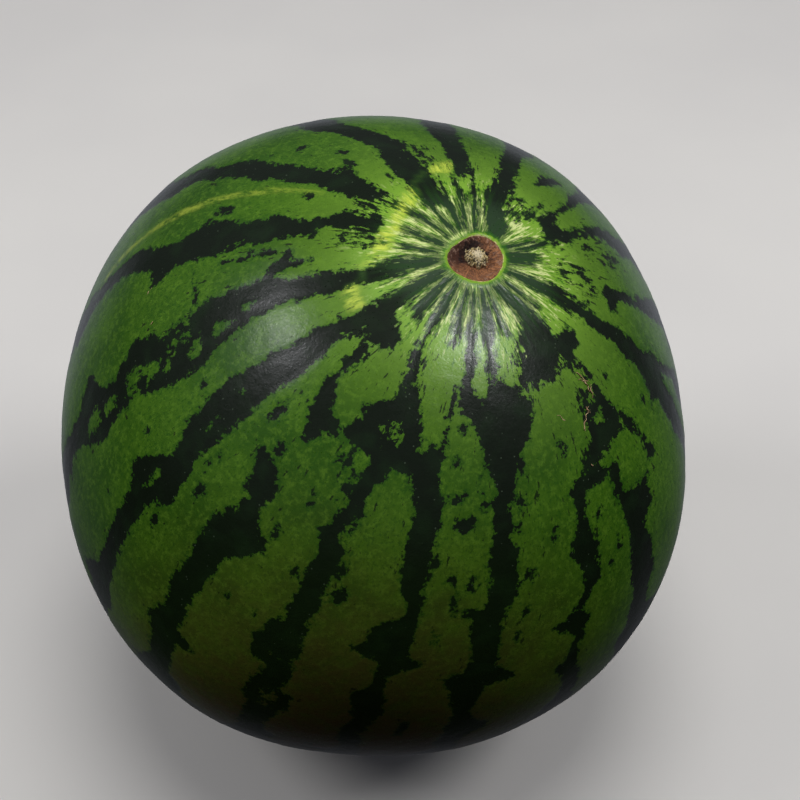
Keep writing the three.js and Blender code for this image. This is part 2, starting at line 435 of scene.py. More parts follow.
STRIPES = (
    Stripe(
        "left_shoulder",
        (
            (5.5, -170, -163), (7.5, -171, -160), (10, -170, -158), (15, -168, -157), (17, -166, -158.5),
            (20, -166, -158.5), (22, -166.5, -159), (25, -168, -159.5), (28, -168.5, -160.5),
            (30, -169, -161), (32, -172.5, -161), (35, -171.5, -161), (40, -171, -159.5), (43, -170.5, -158),
            (45, -170, -156.5), (48, -168.5, -156), (50, -168.5, -156), (53, -167, -156.3),
            (55, -169.5, -157), (58, -170.5, -158), (60, -170, -160), (62, -168.5, -160), (65, -165.5, -159),
            (68, -166, -158.5), (70, -167, -157.5), (73, -171.5, -158), (74.5, -171, -158),
            (77, -169, -159.5), (79, -167, -161), (84, -166, -162),
        ),
        runs_on=True,
    ),
    Stripe(
        "left_broad",
        (
            (5.5, -150, -143), (8, -149, -140), (10, -147.5, -138), (15, -145.5, -136), (17, -145.5, -133.5),
            (19, -145.5, -124), (20.5, -145.5, -124), (21.5, -146, -139.5), (25, -147.5, -140.5),
            (30, -147.5, -139), (33, -148, -138.5), (38, -149, -140), (43, -149.5, -140), (48, -148.5, -140),
            (50, -147.5, -139.8), (52, -148.3, -140), (54, -146, -140), (58, -145, -139),
            (60, -145.2, -138.8), (62, -147, -138), (64, -148.5, -138), (65.5, -149.5, -141),
            (67, -146.5, -141.5), (70, -145.3, -141), (78, -145, -141), (85, -144, -140), (90, -144, -139.5),
        ),
        runs_on=True,
    ),
    Stripe(
        "left_broad_arm",
        (
            (18, -137, -124), (20, -136, -123), (22, -135, -130), (25, -133, -130.5), (28, -133, -131),
            (30, -132.5, -130), (32, -132, -127), (33, -131.5, -125.5), (35, -131, -119.5),
            (36, -129.5, -120), (37, -128.5, -124.5), (39.5, -127, -126),
        ),
    ),
    Stripe(
        "left_front",
        (
            (44.5, -132, -130), (45.3, -132.5, -126), (46, -132, -125.5), (48, -130.5, -123.5),
            (50, -129.5, -123.5), (52, -127.5, -124.5), (54, -127.5, -122.5), (56, -129, -120),
            (57.2, -129.5, -118.3), (58, -130, -119.5), (59.5, -130, -121.5), (62, -130, -124),
            (68, -129.3, -124.5), (73, -129.8, -124.7), (78, -128.5, -124.5), (81, -129.5, -124.3),
            (83.3, -130, -119.5), (84.5, -129.5, -123.5), (90, -127.5, -123), (95, -127, -122.5),
        ),
        runs_on=True,
    ),
    Stripe(
        "front_left",
        (
            (5.5, -118, -112), (8, -119, -112), (12, -118, -112), (15, -116, -112.5), (18, -116, -113),
            (20, -114.5, -110), (22, -112.5, -109.5), (24, -112, -107), (26, -112, -102.5),
            (28, -115, -101.5), (29.5, -119, -101), (32, -118.5, -100), (33.5, -119.5, -97),
            (35.5, -119.5, -97), (36.3, -110, -104), (38, -110, -105.5), (42, -110.3, -106.5),
            (44, -110.3, -107.5), (48, -111, -108), (49, -112.5, -108), (50, -111, -106.5),
            (58, -110.5, -106), (65, -110.2, -106), (67.5, -112.2, -105.8), (69, -112, -106),
            (71, -113.5, -105), (73, -113, -105.5), (74.5, -112, -105), (76, -109.5, -104),
            (80, -109.5, -105), (82, -110, -103), (84, -110.5, -102.5), (88, -109, -103.5),
            (95, -108.5, -104.5),
        ),
        runs_on=True,
    ),
    Stripe(
        "front_middle",
        (
            (31, -96, -93), (32, -96.5, -92), (33.5, -99.5, -91.8), (35.5, -99.5, -91.8), (38, -98, -90.5),
            (39, -97, -89), (41, -95, -89), (45, -95.2, -89.5), (50, -94.5, -88.5), (54, -92.5, -88.5),
            (57, -91, -88.5), (59, -91.5, -88), (60, -93, -88.2), (61, -95, -88), (62.5, -96, -88),
            (64, -95.5, -88), (65.5, -97, -87.8), (66.5, -97.5, -87), (67.5, -92.5, -84.5),
            (68.5, -92, -86.5), (69.5, -92, -88.5), (71, -91.7, -90), (73, -91.7, -89.5), (75, -92.5, -89.5),
            (76, -94, -89), (78, -93.8, -88.5), (80, -93, -87.8), (84, -92, -88.5), (88, -92.5, -89.5),
            (93, -91.5, -88), (97, -90, -87),
        ),
        runs_on=True,
    ),
    Stripe("front_thin_line", ((22.5, -92, -91.3), (28, -93.2, -92.2), (31.5, -93.5, -92))),
    Stripe(
        "front_right_root",
        (
            (6, -89, -86), (10, -90, -86.5), (18, -89.5, -86.5), (22, -91, -86), (23, -91.5, -85),
            (24, -91.5, -79), (25.5, -90.5, -79), (26.3, -84, -79),
        ),
    ),
    Stripe(
        "front_right",
        (
            (5.5, -77, -72), (8, -78, -71), (11, -81, -70), (13, -78.5, -73.5), (17, -77.5, -74.5),
            (20, -78, -74.5), (21.5, -79, -70), (22.3, -79, -62), (24, -82, -61.5), (25, -84, -61),
            (26.5, -83.5, -62), (28, -82, -63), (30, -80, -66.5), (31, -79.5, -68.5), (33, -79, -69.5),
            (34, -77.5, -70), (36, -76.5, -70.5), (40, -76.5, -71.5), (44, -76, -71.5), (48, -76.8, -70),
            (52, -75.2, -69), (54, -75, -70), (56, -76, -70.5), (56.8, -83, -71), (57.6, -78.5, -71.5),
            (59, -78, -72), (63, -76.5, -71), (67, -76, -71), (69, -77, -70), (70.5, -80.5, -67.5),
            (71.5, -79.5, -66.5), (73, -78.5, -71.5), (75, -77.5, -72.5), (80, -76, -72.5), (83, -75.5, -71),
            (85, -75.5, -68), (87, -75, -68), (89, -75, -70), (92, -75, -71), (97, -73.5, -70),
        ),
        runs_on=True,
    ),
    Stripe(
        "right_front_root",
        (
            (5.5, -52, -40), (8, -50, -37), (10, -45, -34), (12, -46, -33), (14, -52, -34), (15, -56, -33.5),
            (16, -58, -33), (17, -60, -33), (18.5, -61.5, -25), (20, -63, -23.5), (21, -64.5, -26),
            (22, -66, -59),
        ),
    ),
    Stripe(
        "right_front_knot",
        (
            (18, -36, -24), (20, -38, -23.5), (21.5, -38, -25), (22, -36, -31.5), (24, -34.8, -32),
            (26, -33.8, -32), (27.5, -41, -32), (30, -43, -31.5), (32, -44, -30.5), (34, -45.5, -30),
            (35.2, -48, -29.5), (36, -49, -39.5), (37, -50, -40), (38, -52, -39.5), (39, -54.5, -39),
            (40, -55.5, -42), (40.6, -55.5, -50),
        ),
    ),
    Stripe(
        "right_front_left_arm",
        (
            (40, -55.5, -50), (41, -55, -51.5), (43, -54.5, -52.5), (45, -55, -52.5), (46, -56, -52),
            (48, -56.5, -50.5), (50, -57.7, -50.3), (51, -56, -51), (53, -54.5, -50.5), (56.5, -54, -50.5),
            (57.5, -54.5, -52.5), (59, -55.3, -54), (61.5, -57.5, -54.5), (62.5, -60.5, -52.5),
            (63.5, -60, -52.5), (65, -56.5, -54), (66.5, -55.5, -53.8), (69, -56, -54.5), (72, -57, -54),
            (74, -58.5, -53.5), (76, -56, -52.5), (80, -55, -51.5), (85, -55, -51),
        ),
        runs_on=True,
    ),
    Stripe(
        "right_front_right_arm",
        (
            (38.5, -44, -39), (40, -42.8, -39.5), (42, -42.5, -39.5), (44, -42, -40), (45.5, -42, -38.5),
            (46.5, -41.8, -31), (48, -41.5, -32.5), (49.5, -41.5, -31.5), (51, -41, -33.5), (52.5, -41, -36),
            (55, -41.5, -36), (57, -41.8, -35), (60, -42, -34.5), (65, -41.5, -35), (70, -41.5, -36),
        ),
        runs_on=True,
    ),
    Stripe(
        "right_front_vein",
        (
            (34, -32, -29), (36, -30, -27.7), (38, -29.2, -27.5), (40, -28.6, -26.8), (42, -28, -26.6),
            (43.8, -28, -25), (44.5, -29.5, -23.8), (45.2, -27, -25),
        ),
    ),
    Stripe(
        "right",
        (
            (5.5, -11, -6), (7, -12, -5), (10, -14, -4), (15, -13.5, -4), (20, -12.5, -5), (25, -12.5, -5.5),
            (28, -12, -5), (30, -12.5, -4.5), (35, -12.5, -4.5), (37, -13, -3), (39, -15, -2),
            (40, -17, -1.5), (41, -13.5, -1.8), (43, -13.5, -6.5), (48, -14, -6.5), (52, -12.5, -7.5),
        ),
        runs_on=True,
    ),
    Stripe("right_fork", ((40, -6, -1.5), (42, -4.6, -2), (45, -3, -0.3), (48, -1.2, 1.6)), runs_on=True),
    Stripe(
        "right_back_low",
        (
            (25, 6.5, 10), (26.2, 4, 10.5), (27, 1.5, 11), (28, 2.5, 11.5), (28.6, 7.5, 12), (30, 9, 12.5),
            (35, 10, 13.5), (38, 10.5, 15), (43, 11, 18), (46, 13, 20),
        ),
        runs_on=True,
    ),
    Stripe("right_back_wedge", ((5.5, 8, 24), (8, 10, 25), (10, 13, 24), (11.5, 17, 21))),
    Stripe(
        "back_right",
        (
            (8, 27, 30), (13, 29, 31.5), (15, 30, 34), (16, 30.5, 37), (17, 31, 47.5), (19, 31, 47.5),
            (20, 31, 38), (21.5, 31.5, 36), (25, 34, 37), (30, 34.5, 37.5), (32, 33, 37.5), (34, 31, 38),
            (37, 28.5, 37.5), (40, 29, 35.5), (42, 30, 36),
        ),
        runs_on=True,
    ),
    Stripe(
        "back_right_arm",
        (
            (17, 44, 47.5), (19, 40, 48), (20, 41, 48), (21, 45.6, 48), (25, 46, 48), (28, 46.5, 48.5),
            (30, 47.5, 49.5), (34, 48.3, 51.5), (40, 47.5, 52),
        ),
        runs_on=True,
    ),
    Stripe(
        "back_right_patch",
        ((25.5, 60.3, 61.2), (27, 59.5, 61.3), (29, 58, 61.5), (31, 56.5, 61), (34, 55, 58.5)),
    ),
    Stripe(
        "back",
        (
            (5.5, 56, 70), (8, 52, 74), (10, 54, 79), (11, 62, 79.5), (12, 66, 80), (15, 67.5, 82),
            (17, 68, 81.5), (19, 68, 77.5), (22, 68.5, 76.5), (25, 70, 76.5), (30, 69.8, 76), (35, 70, 75.5),
            (40, 67, 76),
        ),
        runs_on=True,
    ),
    Stripe(
        "back_left_thin",
        (
            (6, 101, 106), (9, 99, 103), (12, 97, 100.5), (15, 97.5, 100), (17.5, 98, 100.5), (19, 93, 99),
            (20, 90, 98), (24, 89, 98), (27, 89.5, 98), (32, 90.8, 99.5), (40, 90, 99.5),
        ),
        runs_on=True,
    ),
    Stripe(
        "back_left",
        (
            (6, 110, 116), (9, 108, 114), (11, 107.5, 115), (12, 109, 130), (14, 110, 128.5),
            (18, 111.5, 127.5), (20, 111.5, 128), (22, 112, 127), (24, 112, 125.5), (26, 113, 124.5),
            (28, 112.5, 122.5), (30, 112, 122.5), (34, 116, 124.5), (38, 118.5, 125.5), (42, 120.5, 128),
            (46, 119, 128), (50, 118, 126),
        ),
        runs_on=True,
    ),
    Stripe("left_back_root", ((5.5, 140, 143), (10, 141, 144), (14, 142.5, 145), (16, 143, 147))),
    Stripe(
        "left_back",
        (
            (15.5, 143, 147), (17, 143, 148), (19, 141, 150), (20, 141, 156), (21, 141.5, 153.5),
            (24, 141, 153), (25.5, 138.5, 152.5), (27, 137.5, 152), (29, 140, 151.5), (30, 144, 151.5),
            (35, 144.5, 152.5), (39, 146, 152.5), (41, 146.5, 152), (43, 145, 152), (48, 145.2, 151.8),
            (50, 147, 152), (53, 147, 151.5), (56, 145.5, 151.5), (60, 147, 154), (64, 147.5, 154),
        ),
        runs_on=True,
    ),
    Stripe("left_dark_root", ((5.5, 156, 164), (8, 158.5, 164.5), (11, 160.5, 163.5), (12.6, 161.5, 163))),
    Stripe(
        "left_dark",
        (
            (15.6, 160, 167), (16.5, 155, 169), (18, 154, 170.5), (20, 153, 170.5), (21, 160, 170.5),
            (22.5, 163, 170.5), (24, 166, 171), (25, 166.5, 175), (28, 168, 174.5), (30, 167.5, 174.5),
            (32, 165.5, 175), (34, 167.5, 176), (38, 168.5, 175.5), (42, 167, 177), (46, 167, 177.5),
            (48, 169, 176.5), (51, 170.5, 177.5), (53, 170, 179), (55, 169.5, 180), (56, 170, 175),
            (58, 168.5, 174), (63, 168, 172.5), (70, 169.5, 173), (74, 170, 174),
        ),
        runs_on=True,
    ),
    Stripe("left_hook", ((25.5, -175, -174), (27.5, -175.3, -173.2), (30, -177.5, -172.5), (32, -175, -171))),
    Stripe("left_hairline", ((30.5, 179.4, 180.6), (36, 179.5, 180.3), (40.5, 179.6, 180.4))),
    Stripe("crown_streak_a", ((5.5, -134, -128), (8, -133, -127), (11, -132, -124), (14.5, -127.5, -124.5))),
    Stripe("crown_streak_b", ((5.5, -101, -97), (9, -101.5, -97), (12, -100.5, -97.5), (15, -99.5, -98.2))),
    Stripe("crown_streak_c", ((5.5, -66, -62), (8, -66.5, -62), (11, -66, -63), (13.5, -64.5, -63.5))),
    Stripe("crown_streak_d", ((6, -31, -26), (9, -30, -26), (12.5, -28.5, -27))),
    Stripe("crown_streak_e", ((5.5, 86, 92), (8, 87, 91), (13, 88.5, 90.5), (18, 89.2, 90))),
    Stripe("crown_streak_f", ((5.5, 124, 128), (9, 125.5, 128.5), (12.5, 127, 129))),
    Stripe("crown_streak_g", ((5.8, -184, -178), (8, -183, -179.5), (11.5, -181.5, -180))),
    Stripe("crown_streak_h", ((5.5, 34, 39), (7.5, 33, 37), (10, 32.5, 34.5), (15, 31, 33.5))),
)

DARK_FLECKS = tuple(
    Fleck(*row)
    for row in (
        (45.5, -173, 1.1, 4.0), (29, -178, 2.2, 2.6), (39, -135.4, 3.4, 1.5), (42.5, -129, 2.0, 1.4),
        (52.5, -137.7, 2.6, 1.0), (57.5, -135.5, 2.2, 1.7), (67.5, -138.5, 3.0, 1.6), (47.3, -152, 0.9, 1.1),
        (60.3, -151.5, 0.7, 0.8), (75, -149, 0.9, 1.2), (38.5, -116.5, 1.5, 0.9), (39.8, -114.6, 2.4, 0.9),
        (41.2, -112, 2.2, 0.9), (46, -116.6, 1.7, 0.9), (36, -114.5, 1.5, 0.8), (52.8, -119.5, 1.9, 1.1),
        (57.2, -112.3, 1.5, 1.4), (67, -115, 1.3, 0.9), (67.6, -120.5, 1.0, 1.0), (57.5, -103.2, 2.7, 2.1),
        (53.5, -105, 3.0, 1.2), (45.5, -106.7, 3.2, 1.1), (27.5, -87.4, 1.4, 1.3), (32.8, -87.6, 1.9, 1.2),
        (38.2, -86.3, 1.2, 1.6), (37.4, -84.6, 0.8, 1.1), (41.9, -83, 2.4, 3.4), (39, -78.8, 1.8, 1.1),
        (34.9, -80.1, 1.8, 0.9), (48.5, -88, 2.6, 1.4), (51, -83.8, 0.8, 0.9), (54.5, -82.6, 1.8, 1.0),
        (61.8, -84, 1.4, 0.8), (85, -83, 3.6, 1.3), (51.3, -79.3, 2.2, 1.5), (44.8, -60.9, 1.1, 0.9),
        (46.3, -60.8, 0.9, 1.0), (33.3, -68.8, 2.1, 0.9), (38.8, -69.3, 2.2, 1.5), (43, -69.6, 3.6, 0.9),
        (51, -67.6, 2.0, 2.0), (57.8, -67, 2.0, 1.0), (62.3, -68, 1.4, 0.9), (32.2, -54.3, 1.6, 1.3),
        (28, -25, 1.0, 0.9), (37.3, -18.8, 1.2, 1.0), (45.5, -49, 1.2, 1.4), (54.5, -47.8, 2.2, 1.3),
        (52.5, -45, 1.8, 0.9), (26.8, 3.5, 1.0, 2.6), (20.5, 14, 2.8, 1.2), (16.3, 11, 2.0, 2.2),
        (22.5, 7.2, 3.0, 0.9), (28.5, 136, 2.0, 1.0), (31.8, 132.8, 2.0, 1.3), (38.8, 137, 2.0, 1.9),
        (42, 143, 1.0, 1.3), (21.5, 131, 2.0, 0.7), (29, 157, 1.6, 1.1), (42.5, 163.5, 3.0, 1.4),
        (19, 177.5, 2.4, 0.6), (17.5, 174, 2.2, 0.6), (28.5, 183, 1.6, 1.6), (24, 26.5, 2.4, 1.2),
        (31.5, 25, 2.6, 1.0), (29.5, 22, 2.0, 0.8), (13.5, 62, 1.6, 1.4), (17.5, 61.5, 1.1, 1.4),
        (15.5, 53, 2.2, 0.9), (19.5, 52.5, 1.8, 0.7), (26, 108, 2.6, 1.1), (24, 111, 2.2, 1.0),
    )
)

LIGHT_FLECKS = tuple(
    Fleck(*row)
    for row in (
        (41.3, -162.4, 3.7, 2.0), (36, -165, 2.4, 1.3), (47, -161.6, 3.6, 2.6), (50, -164.6, 3.0, 2.2),
        (52.5, -160.3, 3.0, 2.0), (56, -162, 4.2, 3.0), (60.5, -163.6, 4.4, 3.2), (67.7, -162.3, 4.2, 2.8),
        (73.8, -162.2, 5.6, 3.6), (64.2, -143.8, 4.6, 1.2), (49.2, -143.6, 2.2, 0.8), (42, -145.3, 0.8, 0.7),
        (31.5, -108.4, 2.9, 3.6), (85, -106.3, 6.0, 1.9), (73.2, -109, 1.3, 1.7), (25.6, -37, 6.0, 3.6),
        (38, -42.3, 2.6, 3.0), (31.7, -38, 2.0, 2.6), (41, -34.5, 11.0, 7.2), (17.6, 148, 2.0, 3.0),
        (18.8, 157.5, 3.0, 2.4), (27.7, 142, 1.0, 0.8),
    )
)

PALE_STREAKS = (
    PaleStreak(
        (
            (15.8, 128, 2.6, 0.7), (14.5, 136, 3.0, 0.95), (14.2, 146, 3.0, 1.0), (13.6, 154, 2.4, 0.95),
            (13.4, 158.5, 1.4, 0.8),
        )
    ),
    PaleStreak(
        (
            (13.0, 163.5, 1.8, 0.9), (14.0, 170, 2.6, 0.95), (14.3, 180, 2.8, 1.0), (15.4, -173, 3.0, 1.0),
            (16.3, -169, 2.0, 0.9),
        )
    ),
    PaleStreak(((17.6, -167, 1.6, 0.35), (18.2, -160.5, 1.5, 0.3))),
    PaleStreak(((20.2, -156.5, 2.8, 0.75), (20.6, -151, 3.2, 0.85), (20.0, -148.5, 2.0, 0.6))),
    PaleStreak(((21.6, 99.5, 2.2, 0.75), (20.4, 104, 3.0, 0.95), (19.8, 109, 2.0, 0.8))),
    PaleStreak(((17, 126, 1.5, 0.25), (19.4, 114, 1.5, 0.25))),
    PaleStreak(
        (
            (27, 154.6, 1.2, 0.2), (36, 156.6, 1.8, 0.32), (44, 159.2, 1.7, 0.38), (52, 161.4, 2.2, 0.44),
            (60, 163.6, 1.6, 0.34), (68, 166.4, 1.8, 0.3), (76, 171, 1.4, 0.2),
        )
    ),
)


@dataclass(frozen=True)
class RaggedPatch:
    """A place where the edge between light and dark breaks up into specks.

    Attributes:
        down: Degrees from the blossom scar.
        around: Degrees round the fruit.
        reach_mm: How far it reaches.
        strength: How strongly the edge breaks up there, up to 1.
    """

    down: float
    around: float
    reach_mm: float
    strength: float


RAGGED_PATCHES = tuple(
    RaggedPatch(*row)
    for row in (
        (49, -163, 15, 1.0), (60, -162, 12, 0.7), (72, -162, 12, 0.7), (31.5, -108.5, 9, 0.9),
        (21, -50, 20, 1.0), (26, -38, 14, 1.0), (35, -47, 14, 0.9), (37, -33, 12, 0.7), (22, -110, 12, 0.8),
        (24, -96, 9, 0.7), (24, -118, 11, 0.9), (24, -135, 10, 0.8), (20, -80, 9, 0.6), (19, -67, 9, 0.7),
        (19, 8, 18, 0.9), (28, 25, 18, 1.0), (14, 60, 10, 0.8), (21, 82, 14, 0.8), (25, 108, 13, 0.9),
        (18, 152, 12, 1.0), (19, 178, 14, 0.8), (38, -69, 12, 0.6), (52, -68, 9, 0.5), (72, -109, 9, 0.7),
        (84, -106, 10, 0.7), (38, 177, 10, 0.6), (48, -47, 12, 0.6),
    )
)


@dataclass(frozen=True)
class RindMarks:
    """Everything that is marked on the rind, as values at each of its places.

    Attributes:
        edge_step_mm: How close set the places along an outline are.
        limit_mm: The depth at which the values stop.
        strewn_count: How many dark flecks are strewn over the hidden part.
    """

    edge_step_mm: float = 0.6
    limit_mm: float = 14.0
    strewn_count: int = 170

    def outline(self, rows: np.ndarray) -> np.ndarray:
        """Close-set places along the outline of one stripe.

        Args:
            rows: The stripe's rows, as Stripe.grown gives them.

        Returns:
            Degrees down and around, one place a row.
        """
        left = rows[:, :2]
        right = rows[:, [0, 2]]
        corners = np.concatenate([left, right[::-1], left[:1]])
        places = []
        for start, end in zip(corners[:-1], corners[1:]):
            sine = math.sin(math.radians((start[0] + end[0]) / 2.0))
            length = FORM.mm_per_degree * math.hypot(end[0] - start[0], (end[1] - start[1]) * sine)
            count = max(1, math.ceil(length / self.edge_step_mm))
            places.append(start + (end - start) * (np.arange(count) / count)[:, None])
        return np.concatenate(places)

    @staticmethod
    def inside(rows: np.ndarray, down: np.ndarray, around: np.ndarray, margin: float = 0.0) -> np.ndarray:
        """Whether each place lies in a stripe.

        Args:
            rows: The stripe's rows.
            down: Degrees down of the places.
            around: Degrees around of the places.
            margin: How many degrees inside its edges a place has to be.

        Returns:
            One truth value a place.
        """
        left = np.interp(down, rows[:, 0], rows[:, 1])
        right = np.interp(down, rows[:, 0], rows[:, 2])
        from_middle = np.abs(wrap_deg(around - (left + right) / 2.0))
        along = (down >= rows[0, 0]) & (down <= rows[-1, 0])
        return along & (from_middle < (right - left) / 2.0 - margin)

    def stripe_depth_mm(self, down: np.ndarray, around: np.ndarray) -> np.ndarray:
        """How deep inside the dark stripes each place is.

        Args:
            down: Degrees from the blossom scar.
            around: Degrees round the fruit.

        Returns:
            One depth a place, in millimetres, below 0 in the light bands.
        """
        grown = [stripe.grown() for stripe in STRIPES]
        edges = []
        for index, rows in enumerate(grown):
            places = self.outline(rows)
            hidden = np.zeros(len(places), bool)
            for other, other_rows in enumerate(grown):
                if other != index:
                    hidden |= self.inside(other_rows, places[:, 0], places[:, 1], margin=0.05)
            edges.append(places[~hidden])
        edges = np.concatenate(edges)
        spots = FORM.upright(edges[:, 0], edges[:, 1]) / MM
        tree = KDTree(len(spots))
        for index, spot in enumerate(spots.tolist()):
            tree.insert(spot, index)
        tree.balance()
        places = FORM.upright(down, around) / MM
        gap = np.array([tree.find(place)[2] for place in places.tolist()])
        dark = np.zeros(len(down), bool)
        for rows in grown:
            dark |= self.inside(rows, down, around)
        depth = np.where(dark, gap, -gap)
        for fleck in DARK_FLECKS + self.strewn():
            depth = np.maximum(depth, fleck.depth_mm(down, around))
        for fleck in LIGHT_FLECKS:
            depth = np.minimum(depth, -fleck.depth_mm(down, around))
        return np.clip(depth, -self.limit_mm, self.limit_mm)

    def ragged(self, down: np.ndarray, around: np.ndarray) -> np.ndarray:
        """How much the edges break up at each place, from 0 to 1.

        Args:
            down: Degrees from the blossom scar.
            around: Degrees round the fruit.

        Returns:
            One share a place.
        """
        found = np.zeros_like(down)
        for patch in RAGGED_PATCHES:
            spot = Fleck(patch.down, patch.around, patch.reach_mm, patch.reach_mm)
            share = spot.depth_mm(down, around) / patch.reach_mm
            found = np.maximum(found, patch.strength * smooth_step(0.0, 0.6, share))
        lumps = noise_field(FORM.upright(down, around), 0.022, 31.0)
        return np.maximum(found, 0.9 * self.unseen(down, around) * smooth_step(0.12, 0.4, lumps))

    @staticmethod
    def unseen(down: np.ndarray, around: np.ndarray) -> np.ndarray:
        """How far each place lies in the part whose marks are made up, from 0 to 1."""
        behind = smooth_step(48.0, 60.0, down) * (np.abs(wrap_deg(around - 65.0)) < 75.0)
        return np.clip(smooth_step(85.0, 105.0, down) + behind, 0.0, 1.0)

    def strewn(self) -> tuple[Fleck, ...]:
        """Dark flecks strewn over the part whose marks are made up, by a seeded rule.

        Returns:
            The flecks.
        """
        draw = random.Random("strewn flecks")
        flecks = []
        while len(flecks) < self.strewn_count:
            down, around = draw.uniform(48.0, 150.0), draw.uniform(-180.0, 180.0)
            size = draw.uniform(0.8, 1.5) * draw.uniform(0.8, 1.7)
            if self.unseen(np.array(down), np.array(around)) > 0.6:
                long_mm = size * draw.uniform(0.9, 1.9)
                flecks.append(Fleck(down, around, long_mm, size * draw.uniform(0.7, 1.2)))
        return tuple(flecks)

    def pale(self, down: np.ndarray, around: np.ndarray) -> np.ndarray:
        """How strongly the pale yellow marks show at each place, from 0 to 1.

        Args:
            down: Degrees from the blossom scar.
            around: Degrees round the fruit.

        Returns:
            One share a place.
        """
        found = np.zeros_like(down)
        for streak in PALE_STREAKS:
            found = np.maximum(found, streak.share(down, around))
        return found


@dataclass(frozen=True)
class GroundSpotAndShade:
    """The dull olive patch where the fruit lay on the soil as it grew, set on the lower front and spread wide,
    so that it is also painted shade there.

    Attributes:
        down: Degrees of its middle from the blossom scar.
        around: Degrees of its middle round the fruit.
        reach_mm: How far it reaches down the fruit.
        squeeze: How far it reaches round the fruit, as a share of that.
    """

    down: float = 112.0
    around: float = -90.0
    reach_mm: float = 174.0
    squeeze: float = 0.8

    def share(self, down: np.ndarray, around: np.ndarray) -> np.ndarray:
        """How strongly it shows at each place, from 0 to 1."""
        across = self.squeeze * self.reach_mm
        spot = Fleck(self.down, self.around, self.reach_mm, across)
        return smooth_step(0.0, 0.8, spot.depth_mm(down, around) / across)


